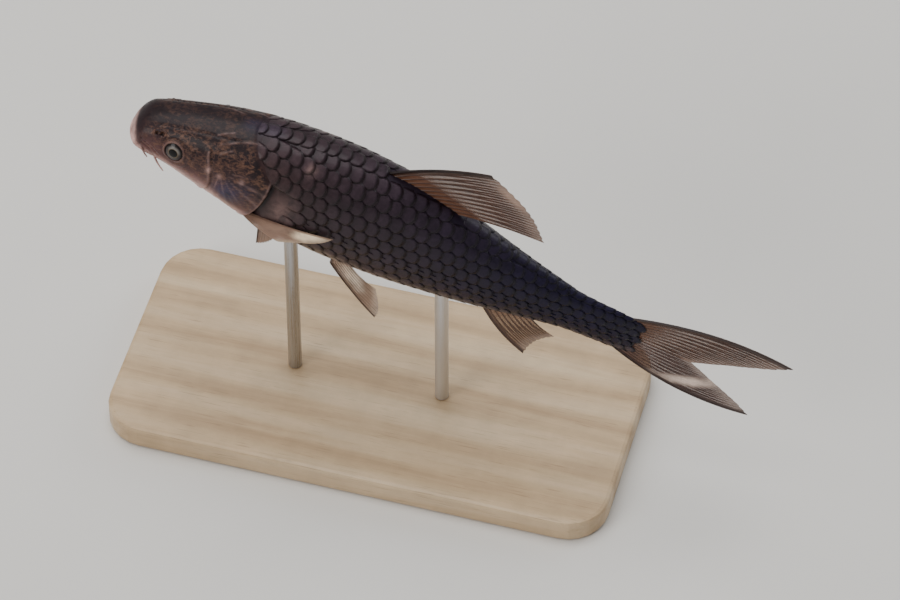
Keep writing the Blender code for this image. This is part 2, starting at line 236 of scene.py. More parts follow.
# ---- the head's folds, in shares of the length, side view
headForm = {
    "mouth": (-0.0065, -0.13, 0.058),       # height at the snout, fall per share, corner
    "nostrils": ((0.0500, 0.0530, 0.50, 0.75), (0.0605, 0.0575, 0.62, 0.80)),  # share, height, radius and depth in mm
    "gillTop": (0.238, 0.20),
    "gillFoot": (0.185, -0.14),
    "gillBulge": 0.280,
    "gillOpens": (0.072, 0.098),            # the opening fades out between these heights
    "cheekPlate": (
        (0.156, 0.080), (0.169, 0.048), (0.176, 0.012), (0.170, -0.022), (0.148, -0.046), (0.108, -0.054),
    ),
    "lowerPlate": ((0.182, -0.044), (0.215, -0.045), (0.248, -0.032), (0.270, -0.004)),
    "eyeCanal": (
        (0.028, 0.026), (0.052, 0.020), (0.073, 0.008), (0.095, 0.004), (0.118, 0.014), (0.130, 0.040), (0.130, 0.066),
    ),
    "lipFold": ((0.064, -0.018), (0.060, -0.002), (0.048, 0.013), (0.030, 0.018)),
    "napeLine": ((0.283, 0.078), (0.262, 0.094), (0.236, 0.114), (0.206, 0.140)),
    # markings, and the gill opening's painted shadow: share, and degrees up round the body from the widest line
    "templeLines": (
        ((0.152, 62), (0.170, 69), (0.188, 74)),
        ((0.163, 50), (0.182, 56), (0.206, 63), (0.249, 68)),
        ((0.172, 36), (0.184, 44), (0.197, 50)),
    ),
    "paleSpots": (                          # and radius and strength
        (0.164, 10, 0.0075, 0.75),
        (0.188, 8, 0.0065, 0.45),
        (0.230, 14, 0.0065, 0.38),
        (0.339, 56, 0.0110, 0.30),
        (0.318, 0, 0.0260, 0.26),
    ),
    "gillDark": ((0.240, 36), (0.258, 26), (0.272, 10)),
    "perRadian": 0.088,                     # share of the length round the body, for each radian
    "coatDepth": 0.42,                      # millimetres that the skin lies under the scales' outer face
    "headDepth": 0.06,
    "shoulderEnd": 0.40,                    # share behind which the body is plain
}


def lineField(points, x, z):  # distance to a smooth line in side view, signed by side, and place along it
    points = np.array(points)
    knots = np.linspace(0, 1, len(points))
    t = np.linspace(0, 1, 70)
    lx, lz = flow(knots, points[:, 0], t), flow(knots, points[:, 1], t)
    tx, tz = np.gradient(lx), np.gradient(lz)
    dx, dz = x[:, None] - lx, z[:, None] - lz
    k = np.argmin(dx * dx + dz * dz, axis=1)
    rows = np.arange(len(x))
    dx, dz = dx[rows, k], dz[rows, k]
    side = np.sign(tx[k] * dz - tz[k] * dx)
    return np.hypot(dx, dz) * np.where(side == 0, 1, side), t[k]


def roundBody(degrees):
    return math.radians(degrees) * headForm["perRadian"]


def arcLine(line):  # a marking's line, with its degrees turned to a share of the length round the body
    return [(ahead, roundBody(degrees)) for ahead, degrees in line]


def gillEdge(z):  # share of the head's rear edge at one height
    (x0, z0), (x1, z1) = headForm["gillTop"], headForm["gillFoot"]
    t = np.clip((z - z0) / (z1 - z0), 0, 1)
    return x0 + (x1 - x0) * t + (headForm["gillBulge"] - 0.5 * (x0 + x1)) * (4 * t * (1 - t)) ** 0.8


def headEdge(z):  # where the bare head ends: the gill opening, and the nape above it
    line = np.array(headForm["napeLine"])
    return np.where(z < line[0, 1], gillEdge(z), np.interp(z, line[:, 1], line[:, 0]))


def headRelief(x, y, z, up, low, lean, left, nape, coat):  # rise in millimetres and masks, to the shoulder's end
    layers = np.zeros((5, len(x)))
    rise, pale, pink, silverAndSheen, dark = layers  # each is a row of layers, and is added to in place; the last is mostly painted shade in creases, pits and grooves
    arc = lean * headForm["perRadian"]
    edge, gate = x - gillEdge(z), 1 - nape
    # mouth and lips; the slit of the mouth and the lip fold are darkened as painted shade
    level, fall, corner = headForm["mouth"]
    dz = z - (level + fall * x)
    mouth = 1 - smooth(corner - 0.010, corner + 0.004, x)
    lips = mouth * (1 - 0.35 * smooth(0.02, corner, x))
    rise += mouth * -1.05 * bell(dz, 0.0019)
    rise += lips * (0.46 * bell(dz - 0.0066, 0.0040) + 0.42 * bell(dz + 0.0064, 0.0036))
    rise += mouth * (-0.26 * bell(dz - 0.0142, 0.0026) - 0.24 * bell(dz + 0.0136, 0.0026))
    pale += lips * 0.9 * (bell(dz - 0.0062, 0.0046) + bell(dz + 0.0064, 0.0048))
    dark += mouth * bell(dz, 0.0021)
    fold, _ = lineField(headForm["lipFold"], x, z)
    rise += -0.30 * bell(fold, 0.0022) + 0.12 * bell(fold - 0.005, 0.004)
    dark += 0.35 * bell(fold, 0.0022)
    # nostrils, two on each side, with a flap between; their pits are darkened as painted shade
    for ahead, height, radius, deep in headForm["nostrils"]:
        away = np.linalg.norm(left - flankPoint(ahead, height), axis=1) / mm
        rise += -deep * smooth(radius * 1.25, radius * 0.55, away) + 0.16 * bell(away - radius * 1.55, 0.30)
        dark += smooth(radius * 1.3, radius * 0.7, away)
    # eye socket and rim; the groove at the opening is darkened as painted shade
    off = left - eyeSeat
    outward = off @ eyeOut
    ring = np.linalg.norm(off - outward[:, None] * eyeOut, axis=1) / mm
    ring = np.where(outward < -0.006, 99, ring)
    opening = eyeForm["opening"]
    rise += -2.3 * smooth(opening + 0.16, opening - 0.36, ring)
    rise += 0.26 * bell(ring - (opening + 0.42), 0.34) - 0.16 * bell(ring - (opening + 1.25), 0.40)
    dark += 0.55 * bell(ring - (opening + 0.02), 0.22)
    pale += 0.25 * bell(ring - (opening + 0.50), 0.25)
    # canals, plates and folds; their pores and grooves are darkened as painted shade
    canal, along = lineField(headForm["eyeCanal"], x, z)
    rise += -0.13 * bell(canal, 0.0020) + 0.09 * bell(np.abs(canal) - 0.0046, 0.0024)
    pores = bell(canal, 0.0020) * (0.5 + 0.5 * np.cos(along * 2 * math.pi * 17)) ** 4
    rise += -0.16 * pores
    dark += 0.35 * pores
    plate, _ = lineField(headForm["cheekPlate"], x, z)
    reach = smooth(0.100, 0.118, x)
    rise += reach * (0.26 * bell(plate + 0.0040, 0.0042) - 0.34 * bell(plate - 0.0024, 0.0026))
    dark += reach * 0.50 * bell(plate - 0.0026, 0.0026)
    pale += reach * 0.35 * bell(plate + 0.0030, 0.0022)
    lower, _ = lineField(headForm["lowerPlate"], x, z)
    inside = smooth(0.172, 0.186, x) * smooth(0.004, -0.004, edge)
    rise += inside * (-0.20 * bell(lower, 0.0020) + 0.14 * bell(lower + 0.0042, 0.0030))
    dark += inside * 0.30 * bell(lower, 0.0020)
    rise += 0.30 * bell(np.hypot(x - 0.134, z - 0.006), 0.026)
    rise += inside * 0.28 * bell(np.hypot(x - 0.228, (z - 0.012) * 0.8), 0.034)
    # struts that fan over the gill cover
    fan = np.arctan2(z - 0.060, x - 0.186)
    rays = inside * smooth(0.012, 0.03, np.hypot(x - 0.186, z - 0.060)) * smooth(0.085, 0.06, z)
    rise += rays * 0.035 * np.cos(fan * 34)
    pale += rays * 0.20 * smooth(0.5, 1.0, np.cos(fan * 17 + 0.8)) * smooth(0.0, 0.03, z)
    # gill opening: a soft rim, a deep step down, and the shoulder coming out from under it; the step is darkened as
    # painted shadow under the cover's edge
    dip = 0.0 if coat else 0.25 + 0.90 * smooth(-0.052, -0.008, z)
    rise += gate * 0.30 * bell(edge + 0.0050, 0.0046)
    rise -= gate * dip * smooth(-0.0012, 0.0016, edge) * smooth(0.022, 0.003, edge)
    dark += gate * smooth(-0.0016, 0.0008, edge) * smooth(0.011, 0.002, edge)
    pale += gate * 0.32 * bell(edge + 0.0030, 0.0020)
    # folds of the throat, seen from below, darkened in their creases as painted shade
    throat = smooth(-0.25, -0.65, (z - 0.5 * low) / np.maximum(-low, 1e-6))
    throat *= smooth(0.07, 0.09, x) * smooth(0.215, 0.19, x)
    for k in range(3):
        fold = y - (0.010 + 0.012 * k + 0.14 * (x - 0.08))
        rise += throat * -0.20 * bell(fold, 0.0018)
        dark += throat * 0.25 * bell(fold, 0.0018)
    rise += -0.30 * bell(y, 0.0028) * smooth(0.03, 0.06, x) * smooth(0.19, 0.16, x) * (z < low * 0.6)
    # skull roof: a low ridge at the nape and canals over the eyes, their pores darkened as painted shade
    roof = smooth(0.62, 0.80, up) * smooth(0.03, 0.06, x) * smooth(0.21, 0.19, x)
    roof *= bell(y - (0.030 + 0.05 * x), 0.0026)
    rise += roof * -0.11
    pores = roof * (0.5 + 0.5 * np.cos(x * 2 * math.pi * 95)) ** 4
    rise += -0.14 * pores
    dark += 0.30 * pores
    # tints, with painted sheen, a painted highlight and a painted shadow among them
    jawRange = smooth(0.25, 0.15, x)
    pale += (1 - smooth(0.10 + 0.10 * jawRange, 0.28 + 0.17 * jawRange, up)) * smooth(0.004, -0.004, edge) * 0.95
    pale += 0.72 * smooth(0.038, 0.023, np.hypot(1.5 * x, z))
    pink += 0.50 * bell(np.hypot(x - 0.148, z + 0.010), 0.026) + 0.30 * bell(np.hypot(x - 0.052, z - 0.018), 0.026)
    pink += 0.90 * bell(np.hypot(x - 0.264, arc + 0.060), 0.015)
    # the gill cover's bright bluish-grey patches: partly their own colour, partly painted sheen
    silverAndSheen += inside * bell(np.hypot((x - 0.212) / 1.3, arc + 0.012), 0.019)
    silverAndSheen += 0.30 * bell(np.hypot(x - 0.245, z - 0.045), 0.016)
    # a painted highlight along the nape
    silverAndSheen += 0.26 * bell(arc - 0.134, 0.012) * smooth(0.180, 0.205, x) * smooth(0.285, 0.250, x)
    dark += inside * 0.62 * bell(np.hypot(x - 0.216, arc + 0.013), 0.0075)
    for line in headForm["templeLines"]:
        away, t = lineField(arcLine(line), x, arc)
        ends = smooth(0.0, 0.12, t) * smooth(1.0, 0.80, t)
        band = bell(away, 0.0021) * ends
        pale += 0.27 * band * (0.72 + 0.28 * np.sin(19 * t + 40 * line[0][0]))
        rise += 0.05 * band - 0.05 * bell(np.abs(away) - 0.0050, 0.0024) * ends
    for ahead, turned, radius, much in headForm["paleSpots"]:
        away = np.hypot(x - ahead, (arc - roundBody(turned)) * 0.9)
        pale += much * bell(away + 0.0016 * np.sin(x * 1400) * np.cos(arc * 1100), radius * 0.8)
    # a painted shadow at the gill opening
    away, _ = lineField(arcLine(headForm["gillDark"]), x, arc)
    dark += 0.60 * bell(away, 0.0090) * smooth(0.008, 0.0, edge)
    return layers


def relief(share, spots, coat=False):  # how far the skin stands from the body's plain form, in millimetres, and masks
    x, y, z = share, np.abs(spots[:, 1]) / size, spots[:, 2] / size
    top, low, wide, middle = section(share)
    tall = np.maximum(top - low, 1e-6)
    up = np.clip((z - low) / tall, 0, 1)
    full = 1 / fishForm["fullness"]
    high = 2 * (z - middle) / tall
    out = (y / np.maximum(wide, 1e-6)) ** full
    lean = np.arctan2(np.sign(high) * np.abs(high) ** full, out)  # round the body, from the widest line
    left = np.stack([spots[:, 0], -np.abs(spots[:, 1]), spots[:, 2]], axis=1)
    nape = smooth(*headForm["gillOpens"], z)
    onHead = smooth(0.004 + 0.009 * nape, -0.004 + 0.002 * nape, x - headEdge(z))
    layers = np.zeros((5, len(x)))
    near = np.where(x < headForm["shoulderEnd"])[0]
    if len(near):
        layers[:, near] = headRelief(*(part[near] for part in (x, y, z, up, low, lean, left, nape)), coat)
    bare, coated = headForm["headDepth"], headForm["coatDepth"]
    depth = bare + (coated - bare) * np.where(coat, 1.0, 1 - onHead)
    return layers[0] - depth, np.clip(layers[1:].T, 0, 1), up, onHead


def skinSurface(share, angle, coat=False):  # points of the finished skin and what the materials need there
    flat = bodyPoint(share, angle)
    normal = bodyNormal(share, angle)
    rise, masks, up, onHead = relief(share, flat, coat)
    return flat + normal * rise[:, None] * mm, normal, masks, up, onHead


# ---- skin: one closed sphere drawn out to the body's form, finest over the head
skinForm = {"segments": 208, "rings": 420, "headRings": 0.63, "headEnd": 0.305}


def newBall(segments, rings):  # a sphere, and the turn and the place from pole to pole of each point
    clearSelection()
    bpy.ops.mesh.primitive_uv_sphere_add(segments=segments, ring_count=rings, radius=1)
    ball = readPoints(bpy.context.object)
    return bpy.context.object, np.arctan2(ball[:, 1], ball[:, 0]), np.arccos(np.clip(ball[:, 2], -1, 1)) / math.pi


def formBall(segments, rings, shape):  # a closed ball drawn out to a form
    obj, around, place = newBall(segments, rings)
    writePoints(obj, shape(around, place))
    faceOutward(obj)
    bpy.ops.object.shade_smooth()
    return obj


skin, turn, ringPlace = newBall(skinForm["segments"], skinForm["rings"])
headPart = np.clip(ringPlace / skinForm["headRings"], 0, 1)
rest = np.clip((ringPlace - skinForm["headRings"]) / (1 - skinForm["headRings"]), 0, 1)
skinShare = skinForm["headEnd"] * headPart ** 1.6 + (stations[-1, 0] - skinForm["headEnd"]) * rest
skinSpots, _, paint, upness, onHead = skinSurface(skinShare, turn)
tailPole = ringPlace > 1 - 1e-4
skinSpots[tailPole] = np.array([stations[-1, 0], 0, 0.5 * (stations[-1, 1] + stations[-1, 2])]) * size
snoutPole = ringPlace < 1e-4
firstRing = np.isclose(ringPlace, ringPlace[~snoutPole].min())
skinSpots[snoutPole] = skinSpots[firstRing].mean(axis=0)
paint[snoutPole] = paint[firstRing].mean(axis=0)
writePoints(skin, toRow(skinSpots))
faceOutward(skin)
bpy.ops.object.shade_smooth()
pointValues(skin, "headPaint", paint)
pointValues(skin, "bodyPlace", np.stack([skinShare, upness, onHead], axis=1))
print("skin:", len(skin.data.polygons), "faces")


# ---- scales: rows along the body, counted up and down from the lateral line
scaleForm = {
    "lateral": (           # share and height
        (0.20, 0.064), (0.28, 0.046), (0.40, 0.024), (0.55, 0.012), (0.75, 0.004), (0.90, 0.001), (1.05, 0.001),
    ),
    "rowWidth": (          # share and millimetres
        (0.18, 3.7), (0.30, 4.3), (0.45, 4.6), (0.62, 4.3), (0.80, 3.6), (0.92, 3.0), (1.05, 2.6),
    ),
    "step": (              # share and the share between scales of a row
        (0.18, 0.0242), (0.40, 0.0264), (0.53, 0.0256), (0.66, 0.0242), (0.92, 0.0224), (1.05, 0.0200),
    ),
    "length": 1.78,        # of a scale, in steps, so each covers three quarters of the next
    "halfWidth": 0.625,    # in row widths
    "lift": (-0.12, 0.28),  # millimetres over the skin, at the root and at the free edge
    "tucked": -0.16,       # the first scales, under the head's rear edge
    "vary": (0.035, 0.0012, 0.05, 0.03),  # at random: size, slant in shares, place and lift in millimetres
    "dome": 0.07,
    "thick": 0.08,
    "across": 7,
    "along": 6,
    "rows": 9,             # above and below the lateral line
    "first": 0.175,
    "last": 1.012,         # share of the rearmost roots
    "midlineRoom": 0.42,   # of a row's width, kept free beside the midlines
    "midlines": ((1, 0.197, 0.452), (1, 0.632, 1.010), (-1, 0.205, 0.720), (-1, 0.828, 1.010)),  # 1 back, -1 belly
    "patch": 0.020,        # of a scale on the unrolled body's map
    "mapMargin": 0.03,
    "mapHeight": 0.88,     # of the map, from belly to back
}
shareGrid = np.linspace(0.15, 1.05, 300)
angleGrid = np.radians(np.arange(-178, 199, 1.0))
gridPoints = bodyPoint(*np.meshgrid(shareGrid, angleGrid, indexing="ij"))
gridSteps = np.linalg.norm(np.diff(gridPoints[..., 1:], axis=1), axis=2)
gridArc = np.insert(np.cumsum(gridSteps, axis=1), 0, 0, axis=1) / mm
frontHalf = (angleGrid >= -math.pi / 2) & (angleGrid <= math.pi / 2)
lateralKnots = np.array(scaleForm["lateral"])
lateralHeight = flow(lateralKnots[:, 0], lateralKnots[:, 1], shareGrid)
for row in range(len(shareGrid)):
    lateralAngle = np.interp(lateralHeight[row] * size, gridPoints[row, frontHalf, 2], angleGrid[frontHalf])
    gridArc[row] -= np.interp(lateralAngle, angleGrid, gridArc[row])
backArc = np.array([np.interp(math.pi / 2, angleGrid, arcs) for arcs in gridArc])
bellyArc = np.array([np.interp(-math.pi / 2, angleGrid, arcs) for arcs in gridArc])
stepKnots, widthKnots = np.array(scaleForm["step"]), np.array(scaleForm["rowWidth"])


def angleAt(share, arc):  # the angle round the body at a distance from the lateral line, in mm
    place = np.clip((share - shareGrid[0]) / (shareGrid[1] - shareGrid[0]), 0, len(shareGrid) - 1.001)
    row = place.astype(int)
    part = place - row
    found = np.empty((2, len(share)))
    for k in np.unique(row):
        pick = row == k
        found[0, pick] = np.interp(arc[pick], gridArc[k], angleGrid)
        found[1, pick] = np.interp(arc[pick], gridArc[k + 1], angleGrid)
    return found[0] * (1 - part) + found[1] * part


def rowWidth(share):
    return flow(widthKnots[:, 0], widthKnots[:, 1], share)


def rowStep(share):
    return float(np.interp(share, stepKnots[:, 0], stepKnots[:, 1]))


def coatStart(z):  # the first roots: a bare strip behind the gill opening, tucked under the head's skin at the nape
    return headEdge(z) + 0.017 - 0.030 * smooth(0.066, 0.092, z)


def scalePlaces():  # root share, row and kind of every scale of the left side and the two midlines
    columns = [scaleForm["first"]]
    while columns[-1] < 1.0:
        columns.append(columns[-1] + rowStep(columns[-1]))
    places = []
    for row in range(-scaleForm["rows"], scaleForm["rows"] + 1):
        for share in columns:
            step = rowStep(share)
            root = share + 0.5 * (row % 2) * step
            mid = root + 1.1 * step
            width = float(rowWidth(mid))
            room = scaleForm["midlineRoom"] * width
            lowest, highest = (np.interp(mid, shareGrid, arcs) for arcs in (bellyArc, backArc))
            if row * width > highest - room or row * width < lowest + room:
                continue
            angle = angleAt(np.array([root]), np.array([row * float(rowWidth(root))]))
            spot = bodyPoint(np.array([root]), angle)[0] / size
            if coatStart(spot[2]) <= root <= scaleForm["last"]:
                places.append((root, step, row, 0))
    for kind, start, end in scaleForm["midlines"]:
        root = start
        while root < end:
            step = rowStep(root) * 0.92
            places.append((root, step, 0, kind))
            root += step
    return places


def scaleTemplate():  # outer face, inner face and the faces that close them into one thin solid
    across, along = scaleForm["across"], scaleForm["along"]
    outer = [(-1 + 2 * i / (across - 1), (k / (along - 1)) ** 0.85, 0) for k in range(along) for i in range(across)]
    index = {(i, k): k * across + i for k in range(along) for i in range(across)}
    under, inner = dict(index), []
    for k in range(1, along - 1):
        for i in range(1, across - 1):
            under[(i, k)] = len(outer) + len(inner)
            inner.append((*outer[index[(i, k)]][:2], 1))
    faces = []
    for k in range(along - 1):
        for i in range(across - 1):
            corners = ((i, k), (i + 1, k), (i + 1, k + 1), (i, k + 1))
            faces.append([index[c] for c in corners])
            faces.append([under[c] for c in corners[::-1]])
    return np.array(outer + inner), np.array(faces)


def buildScales(side):
    template, templateFaces = scaleTemplate()
    places = [p for p in scalePlaces() if side < 0 or p[3] == 0]
    count, per = len(places), len(template)
    root, step, row, kind = (column[:, None] for column in np.array(places, float).T)
    u, v, below = (column[None, :] for column in template.T)
    jitter = rng.uniform(-1, 1, (5, count, 1))
    vary = scaleForm["vary"]
    grow = 1 + vary[0] * jitter[0]
    reach = 0.66 + 0.34 * np.sqrt(np.clip(1 - (0.985 * u) ** 2, 0, 1))
    run = v * reach                                           # 0 at the root, 1 at the rear point
    share = root + run * scaleForm["length"] * step * grow + vary[1] * jitter[1] * u
    spread = 0.74 + 0.26 * smooth(0, 0.45, run)
    width = rowWidth(root + step)
    flatShare = share.ravel()
    backLine, bellyLine = (np.interp(flatShare, shareGrid, arcs).reshape(share.shape) for arcs in (backArc, bellyArc))
    centre = np.where(kind == 0, row * rowWidth(share), np.where(kind > 0, backLine, bellyLine))
    arc = centre + u * spread * width * scaleForm["halfWidth"] * grow + vary[2] * jitter[2]
    angle = angleAt(flatShare, arc.ravel())
    spots, normals, masks, up, head = skinSurface(flatShare, angle, coat=True)
    low, high = scaleForm["lift"]
    lift = low + (high - low) * run + scaleForm["dome"] * (1 - u * u) * np.sin(math.pi * np.clip(run, 0, 1)) ** 0.7
    past = flatShare - coatStart(bodyPoint(flatShare, angle)[:, 2] / size)
    tucked = scaleForm["tucked"]
    lift = tucked + (lift - tucked) * smooth(0.003, 0.034, past).reshape(share.shape)
    lift = lift + vary[3] * jitter[3] * run + np.where(kind != 0, 0.05, 0) - below * scaleForm["thick"]
    spots = sided(spots + normals * lift.ravel()[:, None] * mm, side)
    mesh = bpy.data.meshes.new("scales")
    faces = (templateFaces[None] + (np.arange(count) * per)[:, None, None]).reshape(-1, 4)
    mesh.from_pydata(toRow(spots).tolist(), [], faces.tolist())
    obj = bpy.data.objects.new("scales", mesh)
    bpy.context.collection.objects.link(obj)
    own = [np.broadcast_to(part, (count, per)).ravel() for part in (u, v, jitter[4] * 0.5 + 0.5)]
    pointValues(obj, "scalePlace", np.stack(own, axis=1))
    pointValues(obj, "bodyPlace", np.stack([flatShare, up, head], axis=1))
    pointValues(obj, "headPaint", masks)
    # each scale's patch of the map lies where its root is on the unrolled body
    rootAngle = angleAt(root.ravel(), centre[:, 0])[:, None]
    patch, margin = scaleForm["patch"], scaleForm["mapMargin"]
    mapU = margin + (1 - 2 * margin) * (root - shareGrid[0]) / (shareGrid[-1] - shareGrid[0]) + (run - 0.5) * patch
    mapV = 0.5 + scaleForm["mapHeight"] * rootAngle / math.pi + 0.5 * u * patch
    which = np.empty(len(mesh.loops), dtype=int)
    mesh.loops.foreach_get("vertex_index", which)
    mapSpots = np.stack([mapU.ravel(), mapV.ravel()], axis=1)[which]
    mesh.uv_layers.new(name="OFBake").data.foreach_set("uv", mapSpots.astype(np.float32).ravel())
    mesh.shade_smooth()
    return obj, places


leftScales, leftPlaces = buildScales(-1)
rightScales, rightPlaces = buildScales(1)
for obj in (leftScales, rightScales):
    faceOutward(obj)
print("scales:", len(leftPlaces) + len(rightPlaces), "of", len(scaleTemplate()[1]), "faces each")


# ---- lateral line: a small tube on each scale of the middle row
lateralForm = {
    "first": 0.335,            # share
    "from": 0.46, "to": 1.12,  # along each scale, in steps
    "radius": 0.17, "stand": 0.34,
}


def lateralTube(root, step, side):
    def shape(around, place):
        start, end = lateralForm["from"], lateralForm["to"]
        share = root + step * (start + (end - start) * (0.5 - 0.5 * np.cos(place * math.pi)))
        thin = lateralForm["radius"] * np.sin(place * math.pi) ** 0.6
        spots, normals, *_ = skinSurface(share, angleAt(share, thin * np.cos(around)))
        rise = lateralForm["stand"] * (share - root) / step / 1.2 - 0.02 + thin * np.sin(around)
        return toRow(sided(spots + normals * rise[:, None] * mm, side))
    return formBall(6, 5, shape)


middleRow = [place for place in leftPlaces if place[2:] == (0, 0) and place[0] > lateralForm["first"]]
tubes = [lateralTube(root, step, side) for side in (-1, 1) for root, step, _, _ in middleRow]
lateralLine = joined(tubes)
print("lateral line:", len(tubes), "tubes")

# ---- barbels: one pair beside the snout, one at the corners of the mouth, laid back along the cheek
barbelForm = {
    "snout": {"start": (0.030, 0.004), "tip": (0.052, 0.0570, -0.009), "thick": 0.0025},
    "corner": {"start": (0.060, -0.010), "tip": (0.090, 0.0590, -0.026), "thick": 0.0027},
    "tip": 0.0012,   # radius at the tip
}


def barbel(kind, side):
    form = barbelForm[kind]
    seat = flankPoint(*form["start"]) / size
    a = np.array([seat[0], abs(seat[1]) - 0.008, seat[2]])
    b = np.array([seat[0] + 0.006, abs(seat[1]) + 0.006, seat[2] - 0.002])
    c = np.array(form["tip"])

    def shape(around, place):
        t = place[:, None]
        spot = a * (1 - t) ** 2 + b * 2 * t * (1 - t) + c * t * t
        heading = (b - a) * 2 * (1 - t) + (c - b) * 2 * t
        heading /= np.linalg.norm(heading, axis=1, keepdims=True)
        across = np.cross(heading, [0, 0, 1])
        across /= np.linalg.norm(across, axis=1, keepdims=True)
        over = np.cross(across, heading)
        ends = np.sqrt(np.clip(1 - (2 * place - 1) ** 14, 0, 1))
        radius = (form["thick"] + (barbelForm["tip"] - form["thick"]) * place ** 0.8) * ends
        radius = radius * (1 + 0.05 * np.sin(place * 60))
        spot = spot + (across * np.cos(around)[:, None] + over * np.sin(around)[:, None]) * radius[:, None]
        return toRow(spot * [1, side, 1] * size)
    return formBall(14, 40, shape)


barbels = joined([barbel(kind, side) for kind in ("snout", "corner") for side in (-1, 1)])
print("barbels: 4")


# ---- eyes: a ball with the iris drawn on it, wet and clear on top
def eyePiece(side):
    up = upStep / np.linalg.norm(upStep)
    back = np.cross(up, eyeOut)

    def shape(around, place):
        rim = eyeForm["radius"] * size - eyeForm["gap"]
        flat = rim * np.sin(place * math.pi)
        deep = rim * eyeForm["depth"] * np.cos(place * math.pi)
        deep -= eyeForm["step"] * (place < 0.5) * bell(flat / mm - eyeForm["pupil"] * 1.06, 0.16)
        across = back * np.cos(around)[:, None] + up * np.sin(around)[:, None]
        return toRow(sided(eyeCentre + eyeOut * deep[:, None] + across * flat[:, None], side))

    obj = formBall(64, 72, shape)
    local = toFish(sided(readPoints(obj), side)) - eyeCentre
    reach = np.linalg.norm(local - (local @ eyeOut)[:, None] * eyeOut, axis=1)
    pointValues(obj, "eyePlace", np.stack([reach, local @ up, local @ back], axis=1) / mm / eyeForm["opening"])
    return obj


eyes = {name: eyePiece(side) for side, name in ((-1, "left"), (1, "right"))}
print("eyes: 2")


# ---- fins: rays and the thin skin between them, in one blade
pelvicForm = {
    "roots": ((0.446, 0.044, -0.100), (0.478, 0.023, -0.105)),
    "tips": ((0.566, 0.066, -0.172), (0.546, 0.036, -0.128)),
    "bow": (0, 0.002, -0.003), "down": True, "rays": 9, "tuck": 0.16, "ripple": 0.2,
}
finForms = {  # tuck: how far a fin starts inside the flesh, as a share of its height; ripple: millimetres
    "dorsal": {
        "base": (0.475, 0.628), "front": (0.642, 0.270), "rear": (0.788, 0.152), "hollow": -0.10,
        "rays": 12, "tuck": 0.10, "ripple": 0.35,
    },
    "anal": {
        "base": (0.735, 0.826), "front": (0.856, -0.176), "rear": (0.892, -0.092), "hollow": 0.12,
        "rays": 9, "tuck": 0.12, "ripple": 0.25,
    },
    "tail_upper": {"tip": (1.315, 0.100), "notch": 1.142, "root": 0.049, "rays": 10, "tuck": 0.09, "ripple": 0.35},
    "tail_lower": {"tip": (1.288, -0.078), "notch": 1.142, "root": 0.049, "rays": 10, "tuck": 0.09, "ripple": 0.35},
    "pectoral_left": {
        "roots": ((0.262, 0.060, -0.022), (0.258, 0.050, -0.056)),
        "tips": ((0.428, 0.088, 0.026), (0.338, 0.080, -0.058)),
        "bow": (0, 0.005, 0), "down": False, "rays": 15, "tuck": 0.10, "ripple": 0.18,
    },
    "pectoral_right": {
        "roots": ((0.252, 0.060, -0.044), (0.282, 0.054, -0.058)),
        "tips": ((0.308, 0.030, -0.228), (0.350, 0.040, -0.142)),
        "bow": (0, 0.014, 0), "down": False, "rays": 15, "tuck": 0.12, "ripple": 0.25,
    },
    "pelvic_left": pelvicForm,
    "pelvic_right": pelvicForm,
}
bladeForm = {
    "thick": 1.00,       # millimetres at the root of the leading ray
    "most": 1.2,         # and the most anywhere
    "web": 0.16,         # millimetres of the skin between rays
    "cells": 8, "along": 44,
    "room": 0.0074,      # between the body and a paired fin's tip
    "sink": 0.034,       # how deep the roots of a paired fin go
}


def clearOfBody(spot, room, downward):  # a point of the left side, moved clear of the body
    share, out, height = spot
    top, low, wide, _ = (float(v) for v in section(np.array(share)))
    if downward:
        if out < wide:
            bottom, side = -math.pi / 2, 0.0
            for _ in range(40):
                mid = (bottom + side) / 2
                if abs(bodyPoint(np.array(share), np.array(mid))[1]) < out * size:
                    bottom = mid
                else:
                    side = mid
            height = min(height, bodyPoint(np.array(share), np.array(bottom))[2] / size - room)
    elif low < height < top:
        out = max(out, abs(flankPoint(share, height)[1]) / size + room)
    return np.array([share, out, height])


def between(pair, s):
    return np.array(pair[0]) * (1 - s) + np.array(pair[1]) * s


def medianRays(form, up):  # dorsal or anal fin: root, tip and bow of the ray at each place from front to rear
    span = np.linalg.norm(np.array(form["front"]) - np.array(form["rear"]))

    def at(s):
        share = form["base"][0] + (form["base"][1] - form["base"][0]) * s
        top, low, _, _ = (float(v) for v in section(np.array(share)))
        edge = between((form["front"], form["rear"]), s)
        root = np.array([share, top if up else low])
        inward = (root - edge) / np.linalg.norm(root - edge)
        edge = edge + inward * form["hollow"] * span * math.sin(math.pi * s)
        bow = np.array([-0.5, 0, 0.86 if up else -0.86]) * 0.010 * (1 - 0.5 * s)
        return np.array([root[0], 0, root[1]]), np.array([edge[0], 0, edge[1]]), bow
    return at


def lobeRays(form, up):
    tip, sign = form["tip"], (1 if up else -1)

    def at(s):
        root = np.array([1.002, 0, sign * form["root"] * (1 - s)])
        x = tip[0] + (form["notch"] - tip[0]) * s ** 1.15
        return root, np.array([x, 0, tip[1] * (1 - s) ** 0.98]), np.array([0, 0, sign * 0.024 * (1 - s) ** 1.5])
    return at


def pairedRays(form, side):
    flip = np.array([1, side, 1])

    def at(s):
        root = clearOfBody(between(form["roots"], s), -0.003, form["down"])
        tip = root + (between(form["tips"], s) - root) * (1 + 0.10 * math.sin(math.pi * s))
        return root * flip, clearOfBody(tip, bladeForm["room"], form["down"]) * flip, np.array(form["bow"]) * flip
    return at


def sinking(form, side):  # which way the roots of a paired fin run into the flesh
    root = between(form["roots"], 0.5)
    inward = np.array([0, 0, 0.5 * float(sum(section(np.array(root[0]))[:2]))]) - root * [0, 1, 1]
    return inward / np.linalg.norm(inward) * [1, side, 1]


def rayGap(s, rays):  # 0 on an unforked ray, a half in mid web
    return np.abs((s * (rays - 1) + 0.5) % 1 - 0.5)


